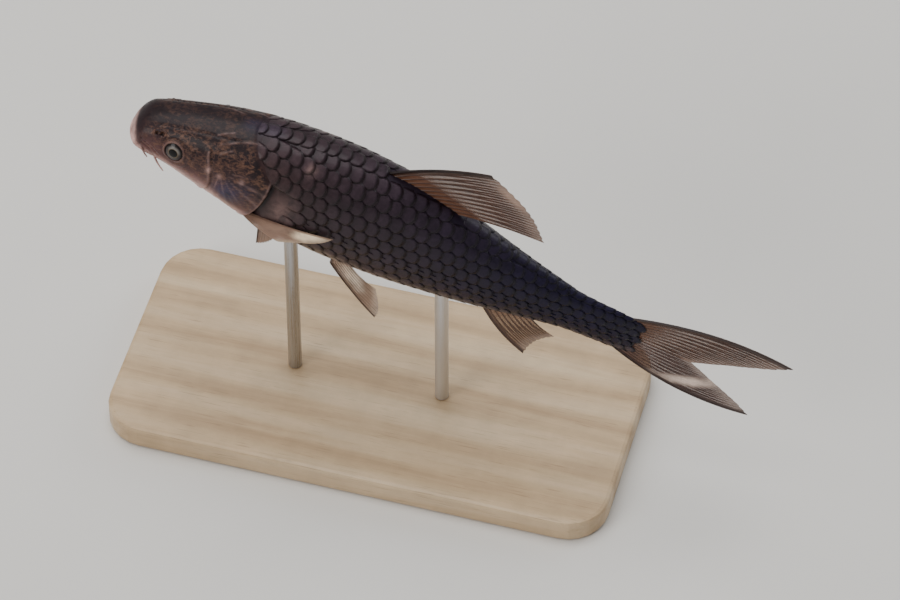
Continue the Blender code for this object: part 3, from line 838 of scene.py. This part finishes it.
def buildFin(form, at, sink=None):
    rays, tuck = form["rays"], form["tuck"]
    clearSelection()
    cells, along = (rays - 1) * bladeForm["cells"], bladeForm["along"]
    bpy.ops.mesh.primitive_grid_add(x_subdivisions=cells, y_subdivisions=along, size=2)
    obj = bpy.context.object
    flat = readPoints(obj)
    s, t = (flat[:, 0] + 1) / 2, (flat[:, 1] + 1) / 2
    table = np.linspace(0, 1, 61)
    lines = [np.array(column) for column in zip(*[at(v) for v in table])]

    def blade(s, t):
        root, tip, bow = (np.stack([np.interp(s, table, line[:, c]) for c in range(3)], axis=1) for line in lines)
        run = t * (1 + tuck) - tuck                 # starts inside the flesh
        notch = 0.011 * smooth(0.1, 0.5, rayGap(s, rays)) * smooth(0.6, 1, t)
        run = run * np.where(run > 0, 1 - notch, 1)  # the web falls back between the ray tips
        spot = root + (tip - root) * run[:, None] + bow * (4 * run * (1 - run))[:, None]
        if sink is not None:
            buried = np.clip(-run / tuck, 0, 1)
            spot = spot + sink * (bladeForm["sink"] * buried)[:, None] + (tip - root) * (buried * tuck * 0.9)[:, None]
        return spot

    e = 1e-3
    across = blade(np.clip(s + e, 0, 1), t) - blade(np.clip(s - e, 0, 1), t)
    along = blade(s, np.clip(t + e, 0, 1)) - blade(s, np.clip(t - e, 0, 1))
    normal = np.cross(along, across)
    normal /= np.maximum(np.linalg.norm(normal, axis=1, keepdims=True), 1e-12)
    place = s * (rays - 1)
    wave = 0.5 * (np.sin(s * 9.0 + t * 2.2) + 0.5 * np.sin(s * 23 + 1.7 - t * 3))
    wave *= form["ripple"] * t ** 1.5 * (1 - 0.6 * t ** 6)
    puff = 0.05 * np.cos(place * 2 * math.pi) * t
    writePoints(obj, toRow(blade(s, t) * size + normal * ((wave + puff) * mm)[:, None]))
    ray = smooth(0.20, 0.04, np.abs(rayGap(s, rays) - 0.25 * smooth(0.34, 0.80, t)))  # rays fork on the way out
    stout = bladeForm["thick"] * (1 + 0.35 * smooth(1.2, 0.0, place)) * (1 - 0.78 * t ** 0.8)
    web = bladeForm["web"]
    thick = web * (1 - 0.35 * t) + (stout - web) * np.maximum(ray, smooth(0.35, 0.1, place)) * 0.62
    thick = np.clip(thick, 0.10, bladeForm["most"]) * np.where(t > 0.985, 0.6, 1)
    group = obj.vertex_groups.new(name="blade")
    for i, value in enumerate(thick / bladeForm["most"]):
        group.add([i], float(value), "REPLACE")
    pointValues(obj, "finPlace", np.stack([s, t, ray], axis=1))
    solid = obj.modifiers.new("blade", "SOLIDIFY")
    solid.thickness = bladeForm["most"] * mm
    solid.offset = 0
    solid.vertex_group = group.name
    pickOnly(obj)
    bpy.ops.object.modifier_apply(modifier=solid.name)
    faceOutward(obj)
    bpy.ops.object.shade_smooth_by_angle(angle=math.radians(60))
    return obj


fins = {}
for place, raysOf in (("dorsal", medianRays), ("anal", medianRays), ("tail_upper", lobeRays), ("tail_lower", lobeRays)):
    form = finForms[place]
    fins[place] = buildFin(form, raysOf(form, place in ("dorsal", "tail_upper")))
pairedNames = ("pectoral_left", "pectoral_right", "pelvic_left", "pelvic_right")
for place in pairedNames:
    form, side = finForms[place], (-1 if place.endswith("left") else 1)
    fins[place] = buildFin(form, pairedRays(form, side), sinking(form, side))
print("fins:", len(fins))


# ---- materials
def srgb(r, g, b):  # a tint given as 0 to 255
    return tuple(((v / 255) / 12.92 if v <= 10 else ((v / 255 + 0.055) / 1.055) ** 2.4) for v in (r, g, b)) + (1.0,)


class Field:  # a shader node's output: plain sums build nodes, and a name in brackets gives another output
    def __init__(self, socket):
        self.socket = socket

    def __getitem__(self, name):
        return Field(self.socket.node.outputs[name])

    def __rsub__(self, other):
        return maths("SUBTRACT", other, self)


def sumNode(operation):
    return lambda *values: maths(operation, *values)


for name, operation in (
    ("__add__", "ADD"), ("__sub__", "SUBTRACT"), ("__mul__", "MULTIPLY"),
    ("__truediv__", "DIVIDE"), ("__pow__", "POWER"), ("__abs__", "ABSOLUTE"),
):
    setattr(Field, name, sumNode(operation))


def feed(node, inputs):  # each input linked, or set to a value
    for key, value in inputs.items():
        if isinstance(value, Field):
            node.id_data.links.new(value.socket, node.inputs[key])
        else:
            node.inputs[key].default_value = value


def put(kind, inputs, tree=None, **settings):  # a new node's first output
    if tree is None:
        tree = next(value.socket.id_data for value in inputs.values() if isinstance(value, Field))
    node = tree.nodes.new("ShaderNode" + kind)
    for key, value in settings.items():
        setattr(node, key, value)
    feed(node, inputs)
    return Field(node.outputs[0])


def maths(operation, *values):
    return put("Math", dict(enumerate(values)), operation=operation)


def ranged(value, low, high, to0=0.0, to1=1.0):
    limits = {"From Min": low, "From Max": high, "To Min": to0, "To Max": to1}
    return put("MapRange", {"Value": value, **limits}, interpolation_type="SMOOTHSTEP")


def mixed(amount, a, b):
    return put("Mix", {0: amount, 6: a, 7: b}, data_type="RGBA")[2]


def scaled(tint, gain):
    return put("VectorMath", {0: tint, "Scale": gain}, operation="SCALE")


def noise(vector, scale, detail, **more):
    return put("TexNoise", {"Vector": vector, "Scale": scale, "Detail": detail, **more})


def stretched(vector, scale, rotation=(0, 0, 0)):
    return put("Mapping", {"Vector": vector, "Scale": scale, "Rotation": rotation})


def objectPlace(tree):
    return put("TexCoord", {}, tree)["Object"]


def stored(tree, name):  # an attribute of the mesh
    return put("Attribute", {}, tree, attribute_name=name)


def parted(vector):
    return put("SeparateXYZ", {0: vector})


def ramp(value, *stops):
    tint = put("ValToRGB", {"Fac": value})
    band = tint.socket.node.color_ramp
    while len(band.elements) > 1:
        band.elements.remove(band.elements[-1])
    band.elements[0].position, band.elements[0].color = stops[0]
    for place, stop in stops[1:]:
        band.elements.new(place).color = stop
    return tint


def newGroup(name, inputs, outputs):  # the group, what goes into it and the node that takes its results
    group = bpy.data.node_groups.new(name, "ShaderNodeTree")
    for label, kind, value in inputs:
        socket = group.interface.new_socket(name=label, in_out="INPUT", socket_type="NodeSocket" + kind)
        if value is not None:
            socket.default_value = value
    for label, kind in outputs:
        group.interface.new_socket(name=label, in_out="OUTPUT", socket_type="NodeSocket" + kind)
    return group, Field(group.nodes.new("NodeGroupInput").outputs[0]), group.nodes.new("NodeGroupOutput")


def newMaterial(name, **values):
    mat = bpy.data.materials.new(name)
    mat.use_nodes = True
    shader = mat.node_tree.nodes["Principled BSDF"]
    feed(shader, {key.replace("_", " "): value for key, value in values.items()})
    return mat, mat.node_tree, shader


# fine colour and height variation, used by every finish but the eye's
mottleGroup, given, results = newGroup(
    "Mottle",
    (("Color", "Color", (0.5, 0.5, 0.5, 1)), ("Scale", "Float", 400.0), ("Amount", "Float", 0.3)),
    (("Color", "Color"), ("Height", "Float")),
)
spot = objectPlace(mottleGroup)
both = noise(spot, given["Scale"], 5.0, Roughness=0.62) * 0.55 + noise(spot, given["Scale"] * 0.17, 3.0) * 0.45
gain = maths("MULTIPLY_ADD", (both - 0.5) * given["Amount"], 4.0, 1.0)
feed(results, {"Color": scaled(given["Color"], gain), "Height": both})

# markings of the body, the same on skin and scales: dark back, brown flank, pale belly; the head's masks add painted
# shade, sheen and highlight
shade = {
    "belly": (152, 132, 118),
    "lowFlank": (48, 36, 42),
    "flank": (34, 25, 33),
    "upFlank": (33, 24, 33),
    "back": (38, 28, 36),
    "fore": (60, 41, 37),
    "rear": (9, 7, 32),
    "crown": (34, 24, 27),
    "temple": (56, 39, 40),
    "cheek": (90, 63, 60),
    "worm": (126, 90, 72),
    "pink": (164, 112, 110),
    "pale": (198, 160, 152),
    "silverAndSheen": (50, 50, 80),
    # deep: the tint of the head's painted shade, and of dark specks
    "deep": (15, 12, 16),
}
shade = {name: srgb(*tint) for name, tint in shade.items()}
bodyBands = ((0.0, "belly"), (0.10, "belly"), (0.24, "lowFlank"), (0.46, "flank"), (0.78, "upFlank"), (0.96, "back"))
headBands = ((0.0, "pale"), (0.10, "pale"), (0.30, "cheek"), (0.58, "temple"), (0.84, "crown"), (1.0, "crown"))
bodyGroup, given, results = newGroup(
    "Body markings and painted light",
    (("Place", "Vector", None), ("Masks", "Color", (0, 0, 0, 1)), ("Dark", "Float", 0.0)),
    (("Color", "Color"),),
)
where = parted(given["Place"])
paintRgb = put("SeparateColor", {0: given["Masks"]})
spot = objectPlace(bodyGroup)
height = where["Y"] + (noise(spot, 90.0, 3.0) - 0.5) * 0.14
flankTint = ramp(height, *((place, shade[name]) for place, name in bodyBands))
headTint = ramp(height, *((place, shade[name]) for place, name in headBands))
foreward = ranged(where["X"], 0.46, 0.20, 0.0, 0.75) * ranged(height, 0.16, 0.34) * ranged(height, 1.0, 0.80, 0.35, 1.0)
foreTint = mixed(foreward, flankTint, shade["fore"])
rearTint = mixed(ranged(where["X"], 0.34, 0.88, 0.0, 0.84), foreTint, shade["rear"])
patchy = ranged(noise(spot, 480.0, 4.0, Roughness=0.6), 0.34, 0.58, 0.55, 1.0)
tinted = mixed(where["Z"], rearTint, headTint)
# the Dark mask is mostly painted shade; the Blue mask is partly painted sheen and highlight
for amount, name in (
    (paintRgb["Green"] * 0.80, "pink"),
    (paintRgb["Blue"] * 0.88, "silverAndSheen"),
    (paintRgb["Red"] * 0.92 * patchy, "pale"),
    (given["Dark"] * 0.90, "deep"),
):
    tinted = mixed(amount, tinted, shade[name])
feed(results, {"Color": tinted})

# rays of a fin: distance from a ray's middle line, and the joints along it
rayGroup, given, results = newGroup(
    "Fin rays",
    (("Place", "Vector", None), ("Rays", "Float", 12.0)),
    (("Ray", "Float"), ("Joint", "Float"), ("Edge", "Float"), ("Lead", "Float")),
)
where = parted(given["Place"])
along = where["X"] * (given["Rays"] - 1.0)
gap = abs(maths("FRACT", along + 0.5) - 0.5)
feed(results, {
    "Ray": ranged(abs(gap - ranged(where["Y"], 0.34, 0.80, 0.0, 0.25)), 0.17, 0.05),
    "Joint": ranged(maths("PINGPONG", where["Y"] * 46.0, 0.5), 0.16, 0.02),
    "Edge": ranged(where["Y"], 0.80, 1.0),
    "Lead": ranged(along, 1.15, 0.35),
})


def dressed(mat, shader, tint, grain, rough, *bumps):  # mottled colour, uneven gloss, and relief from fine to coarse
    scale, amount = grain
    mottled = put("Group", {"Color": tint, "Scale": scale, "Amount": amount}, node_tree=mottleGroup)
    relief = {}
    for bumpHeight, strength, distance in bumps:
        source = mottled["Height"] if bumpHeight is None else bumpHeight
        relief = {"Normal": put("Bump", {"Height": source, "Strength": strength, "Distance": distance, **relief})}
    gloss = rough if isinstance(rough, Field) else ranged(mottled["Height"], 0.35, 0.65, *rough)
    feed(shader, {"Base Color": mottled["Color"], "Roughness": gloss, **relief})
    return mat


def bodyMarksAndLight(tree):  # the markings' tint with the painted shade and highlights, where on the body the point is, and the painted masks
    place, masks = stored(tree, "bodyPlace")["Vector"], stored(tree, "headPaint")
    tint = put("Group", {"Place": place, "Masks": masks["Color"], "Dark": masks["Alpha"]}, node_tree=bodyGroup)
    return tint, parted(place), masks["Color"]


def skinMaterial():
    mat, tree, shader = newMaterial(
        "body_skin", Roughness=0.42, IOR=1.38, Specular_IOR_Level=0.20, Coat_Weight=0.10, Coat_Roughness=0.20
    )
    base, place, masks = bodyMarksAndLight(tree)
    spot = objectPlace(tree)
    drawn = stretched(spot, (0.72, 1.0, 1.15))
    lines = ranged(abs(noise(drawn, 560.0, 2.0, Distortion=0.7) - 0.5), 0.070, 0.0)
    blots = ranged(noise(drawn, 640.0, 5.0, Roughness=0.68), 0.47, 0.64)
    broken = ranged(noise(spot, 210.0, 2.0), 0.40, 0.58)
    upright = ranged(place["Y"], 0.22, 0.42) * ranged(place["Y"], 1.0, 0.86, 0.35, 1.0)
    onHead = upright * ranged(place["X"], 0.012, 0.05) * place["Z"]
    bare = 1.0 - put("SeparateColor", {0: masks})["Blue"] * 0.70  # few brown marks on the blue patch
    veil = maths("MAXIMUM", lines * broken * 0.34, blots * 0.50) * (onHead * bare)
    cells = put("TexVoronoi", {"Vector": spot, "Scale": 1250.0})["Distance"]
    specks = ranged(cells, 0.30, 0.10) * 0.42 * onHead
    specked = mixed(specks, mixed(veil, base, shade["worm"]), shade["deep"])
    net = lines * onHead
    return dressed(mat, shader, specked, (620.0, 0.42), (0.40, 0.60), (None, 0.30, 0.0003), (net, 0.15, 0.00015))


def scaleMaterial():
    mat, tree, shader = newMaterial(
        "scale_horn", Roughness=0.36, IOR=1.38, Specular_IOR_Level=0.24, Coat_Weight=0.10, Coat_Roughness=0.16
    )
    base, place, _ = bodyMarksAndLight(tree)
    own = parted(stored(tree, "scalePlace")["Vector"])
    u, v, luck = own["X"], own["Y"], own["Z"]
    rim = maths("MAXIMUM", ranged(abs(u), 0.66, 0.96), ranged(v, 0.80, 0.97))
    # edge: the dark rim of each scale, its own colour, and its covered front part darkened as painted shadow under the
    # scale ahead
    edge = maths("MAXIMUM", rim, ranged(v, 0.60, 0.42))
    tailward = ranged(place["X"], 0.40, 0.95)
    fade = maths("MULTIPLY_ADD", tailward, -0.60, 1.0)
    sheenTint = mixed(tailward, srgb(102, 82, 84), srgb(74, 70, 100))
    centre = mixed(fade * 0.09, scaled(base, maths("MULTIPLY_ADD", luck, 0.34, 1.05)), sheenTint)
    netAndShadow = mixed(0.60, base, srgb(12, 10, 14))
    tint = mixed(edge * ranged(place["Y"], 0.35, 0.85, 0.70, 0.50), centre, netAndShadow)
    # growth rings round the front focus, the radii that cross them and the bright margin
    rings = maths("PINGPONG", maths("SQRT", (u * 0.78) ** 2.0 + (v - 0.30) ** 2.0) * 26.0, 0.5)
    radii = ranged(maths("PINGPONG", maths("ARCTAN2", u, v - 0.25) * 4.2, 0.5), 0.07, 0.0)
    margin = ranged(v, 0.94, 1.0) * ranged(abs(u), 0.95, 0.70)
    tint = mixed(radii * 0.42, tint, srgb(14, 10, 14))
    tint = mixed(ranged(rings, 0.30, 0.50) * 0.20 * fade, tint, sheenTint)
    tint = mixed(margin * 0.34 * fade, tint, sheenTint)
    feed(shader, {"Metallic": ranged(edge, 0.0, 1.0, 0.14, 0.02)})
    cut = rings * 0.35 - radii * 0.5
    return dressed(mat, shader, tint, (900.0, 0.52), (0.30, 0.50), (None, 0.20, 0.0002), (cut, 0.40, 0.00014))


def finMaterial(name, rays, rim, tints, patch):  # patch: place and reach both ways, strength and slant of a painted glint
    mat, tree, shader = newMaterial("fin_" + name, Roughness=0.45, IOR=1.38)
    web, ray, lead, rimAndGlint = (srgb(*tint) for tint in tints)
    sPlace, tPlace, sWide, tWide, much, slant = patch
    place = stored(tree, "finPlace")["Vector"]
    parts = put("Group", {"Place": place, "Rays": float(rays)}, node_tree=rayGroup)
    where = parted(place)
    cloud = noise(objectPlace(tree), 160.0, 4.0)
    ds = (where["X"] - sPlace) / sWide
    dt = (where["Y"] - maths("MULTIPLY_ADD", where["X"] - sPlace, slant, tPlace)) / tWide
    away = maths("SQRT", ds * ds + dt * dt) + (cloud - 0.5) * 0.9
    # a pale patch painted on as a glint, and made less clear; the same pale tint lightens the rim
    paintedGlint = ranged(away, 1.05, 0.25) * much
    tint = mixed(parts["Joint"] * parts["Ray"] * 0.45, mixed(parts["Ray"], web, ray), web)
    tint = mixed(paintedGlint, tint, rimAndGlint)
    tint = mixed(parts["Edge"] * rim, tint, rimAndGlint)
    tint = mixed(parts["Lead"] * 0.85, tint, lead)
    solid = maths("MAXIMUM", maths("MAXIMUM", parts["Ray"], parts["Lead"]), ranged(where["Y"], 0.45, 0.08))
    feed(shader, {"Alpha": maths("MULTIPLY_ADD", maths("MAXIMUM", solid, paintedGlint), 0.40, 0.60)})
    cut = parts["Ray"] - parts["Joint"] * 0.4
    return dressed(mat, shader, tint, (420.0, 0.40), (0.34, 0.52), (None, 0.25, 0.0002), (cut, 0.35, 0.00015))


def irisMaterial():  # the shader's coat is the clear cornea
    mat, tree, shader = newMaterial(
        "eye_iris", Roughness=0.50, IOR=1.35, Specular_IOR_Level=0.15,
        Coat_Weight=1.0, Coat_Roughness=0.04, Coat_IOR=1.22,
    )
    own = parted(stored(tree, "eyePlace")["Vector"])
    reach, up = own["X"], own["Y"]
    spot = objectPlace(tree)
    wob = maths("MULTIPLY_ADD", noise(spot, 2600.0, 4.0) - 0.5, 0.04, reach)
    black = eyeForm["pupil"] / eyeForm["opening"]
    ringTint = ramp(
        wob,
        (0.0, srgb(5, 5, 6)), (black * 0.95, srgb(5, 5, 6)), (black * 1.04, srgb(104, 88, 68)),
        (black * 1.22, srgb(74, 64, 59)), (0.72, srgb(58, 49, 47)), (0.90, srgb(30, 24, 25)), (1.0, srgb(13, 10, 11)),
    )
    # a pale crescent over the pupil, on the upper side only: a painted highlight on the iris
    upward = up / maths("MAXIMUM", reach, 0.05)
    ringed = ranged(wob, black * 1.02, black * 1.16) * ranged(wob, 0.94, 0.62)
    irisWithHighlight = mixed(ranged(upward, -0.10, 0.95) * ringed * 0.50, ringTint, srgb(158, 154, 148))
    streak = noise(spot, 900.0, 5.0)
    onIris = ranged(reach, black * 0.98, black * 1.05) * ranged(reach, 0.98, 0.86)
    feed(shader, {
        "Base Color": mixed(ranged(streak, 0.50, 0.70) * 0.30, irisWithHighlight, srgb(44, 36, 35)),
        "Metallic": onIris * 0.25,
        "Normal": put("Bump", {"Height": streak, "Strength": 0.12, "Distance": 0.00005}),
    })
    return mat


def woodMaterial():
    mat, tree, shader = newMaterial("base_wood", Roughness=0.45, IOR=1.45)
    spot = objectPlace(tree)
    wander = noise(stretched(spot, (7.0, 120.0, 120.0), (0.02, 0.03, 0.05)), 1.5, 5.0, Roughness=0.62, Distortion=0.4)
    bands = {"Scale": 1.1, "Distortion": 5.5, "Detail": 3.0, "Detail Scale": 0.9}
    growth = stretched(spot, (3.0, 22.0, 12.0), (0, 0, 0.06))
    growth = put("TexWave", {"Vector": growth, **bands}, bands_direction="Y")["Fac"]
    pores = ranged(noise(stretched(spot, (110.0, 2600.0, 2600.0)), 1.0, 2.0), 0.60, 0.74)
    figure = maths("MULTIPLY_ADD", growth, 0.22, wander * 0.78)
    tint = ramp(figure, (0.28, srgb(170, 142, 108)), (0.50, srgb(190, 163, 128)), (0.72, srgb(204, 180, 147)))
    pored = mixed(pores * 0.40, tint, srgb(132, 102, 72))
    gloss = ranged(figure, 0.2, 0.8, 0.52, 0.38)
    return dressed(mat, shader, pored, (160.0, 0.16), gloss, (figure - pores * 0.8, 0.10, 0.00012))


def steelMaterial():
    mat, tree, shader = newMaterial("rod_steel", Metallic=1.0, Roughness=0.28)
    turned = noise(stretched(objectPlace(tree), (2600.0, 2600.0, 60.0)), 1.0, 2.0)
    tint = ramp(turned, (0.3, srgb(168, 168, 170)), (0.7, srgb(186, 186, 188)))
    gloss = ranged(turned, 0.3, 0.7, 0.26, 0.34)
    return dressed(mat, shader, tint, (240.0, 0.06), gloss, (turned, 0.08, 0.00003))


skinMat, scaleMat = skinMaterial(), scaleMaterial()
finLooks = {  # rays, how pale the rim is, tints of web, rays, leading ray and of the pale rim and painted glint, and the glint's patch
    "dorsal": (
        12, 0.45, ((106, 70, 52), (60, 41, 36), (24, 17, 18), (178, 150, 134)), (0.36, 0.97, 0.24, 0.10, 0.70, 0.0),
    ),
    "anal": (
        9, 0.35, ((128, 98, 80), (78, 57, 48), (60, 44, 40), (206, 184, 170)), (0.35, 0.02, 0.40, 0.13, 0.95, 0.0),
    ),
    "tail_upper": (
        10, 0.30, ((104, 70, 52), (58, 40, 34), (40, 28, 27), (178, 150, 134)), (1.0, 1.0, 0.10, 0.25, 0.40, 0.0),
    ),
    "tail_lower": (
        10, 0.30, ((102, 74, 64), (60, 44, 41), (48, 35, 34), (222, 200, 186)), (0.38, 0.70, 0.40, 0.15, 1.0, 0.95),
    ),
    "pectoral": (
        15, 0.35, ((178, 146, 126), (118, 90, 77), (132, 104, 88), (255, 232, 200)),
        (0.15, 0.78, 0.50, 0.22, 1.0, 0.10),
    ),
    "pectoral_brown": (
        15, 0.25, ((112, 78, 58), (72, 50, 40), (58, 40, 33), (176, 144, 120)), (0.15, 0.96, 0.42, 0.12, 0.30, 0.10),
    ),
    "pelvic": (
        9, 0.40, ((196, 164, 142), (126, 98, 84), (72, 52, 45), (255, 234, 212)), (0.60, 0.42, 0.60, 0.36, 1.0, 0.0),
    ),
}
finMats = {name: finMaterial(name, *look) for name, look in finLooks.items()}
irisMat, woodMat, steelMat = irisMaterial(), woodMaterial(), steelMaterial()

flesh = ("head", "lower_jaw", "gill_cover_left", "gill_cover_right", "trunk", "tail_stem")
newPiece(skin, "skin", skinMat, flesh)
newPiece(barbels, "barbels", skinMat)
for obj, name in ((leftScales, "scales_left"), (rightScales, "scales_right"), (lateralLine, "lateral_line")):
    newPiece(obj, name, scaleMat)
for place, name, node in (
    ("dorsal", "dorsal_fin_rays", "dorsal_fin"),
    ("anal", "anal_fin_rays", "anal_fin"),
    ("tail_upper", "caudal_upper_rays", "caudal_fin_upper"),
    ("tail_lower", "caudal_lower_rays", "caudal_fin_lower"),
):
    newPiece(fins[place], name, finMats[place], (node,))
for place in pairedNames:
    kind, side = place.split("_")
    node = kind + "_fin_" + side
    mat = finMats["pectoral_brown" if place == "pectoral_right" else kind]
    newPiece(fins[place], node + "_rays", mat, (node,))
for side, eye in eyes.items():
    newPiece(eye, "eyeball_" + side, irisMat, ("eye_" + side,))
for name, mat in (("stand_base", woodMat), ("stand_rod_front", steelMat)):  # the rear rod keeps the CAD's plain steel
    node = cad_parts[name]
    node.data.materials.clear()
    node.data.materials.append(mat)
for obj, onHead, pale in ((barbels, 1.0, 0.45), (lateralLine, 0.0, 0.0)):
    count = len(obj.data.vertices)
    spots = toFish(readPoints(obj))
    share = spots[:, 0] / size
    top, low, _, _ = section(share)
    up = np.clip((spots[:, 2] / size - low) / (top - low), 0, 1)
    pointValues(obj, "headPaint", np.tile([pale, 0.0, 0.0, 0.0], (count, 1)))
    pointValues(obj, "bodyPlace", np.stack([share, up, np.full(count, onHead)], axis=1))
pointValues(lateralLine, "scalePlace", np.tile([0.0, 0.70, 0.9], (len(lateralLine.data.vertices), 1)))
print("materials set")

# ---- floor, light and camera
stageForm = {
    "floor": 60.0,
    "turn": 15.6, "height": 50.0,  # degrees, of the camera
    "lens": 200, "away": 1.42, "aim": (0.021, 0.0, 0.052),
    "lights": (                    # name, place, height of the aim, width, watts and tint
        ("overhead", (-0.25, 0.25, 1.5), 0.05, 1.5, 21.0, (1, 1, 1)),
        ("front", (-0.9, -1.2, 0.9), 0.06, 0.9, 12.0, (1.0, 0.98, 0.95)),
        ("back", (0.9, 1.1, 0.7), 0.06, 0.7, 4.0, (0.94, 0.97, 1.0)),
    ),
}
clearSelection()
bpy.ops.mesh.primitive_plane_add(size=stageForm["floor"], location=(0, 0, 0))
floor = bpy.context.object
floor.name = "floor"
floorMat, tree, shader = newMaterial("floor_paper", Roughness=0.9)
paper = put("Group", {"Color": srgb(222, 219, 214), "Scale": 12.0, "Amount": 0.03}, tree, node_tree=mottleGroup)
feed(shader, {"Base Color": paper["Color"]})
floor.data.materials.append(floorMat)


def placed(name, data, place, aim):  # a light or camera that looks at a point
    obj = bpy.data.objects.new(name, data)
    bpy.context.collection.objects.link(obj)
    obj.location = place
    obj.rotation_euler = (Vector(aim) - Vector(place)).to_track_quat("-Z", "Y").to_euler()
    return obj


for name, place, height, width, power, tint in stageForm["lights"]:
    data = bpy.data.lights.new(name, "AREA")
    data.shape, data.size, data.energy, data.color = "DISK", width, power, tint
    placed(name, data, place, (0, 0, height))
world = bpy.data.worlds.new("studio")
bpy.context.scene.world = world
world.use_nodes = True
feed(world.node_tree.nodes["Background"], {"Color": (0.80, 0.82, 0.84, 1), "Strength": 0.40})

cameraData = bpy.data.cameras.new("camera")
cameraData.lens = stageForm["lens"]
cameraData.clip_start = 0.05
turn, tilt = math.radians(stageForm["turn"]), math.radians(stageForm["height"])
away = Vector((math.sin(turn) * math.cos(tilt), -math.cos(turn) * math.cos(tilt), math.sin(tilt)))
aim = Vector(stageForm["aim"])
bpy.context.scene.camera = placed("camera", cameraData, aim + away * stageForm["away"], aim)
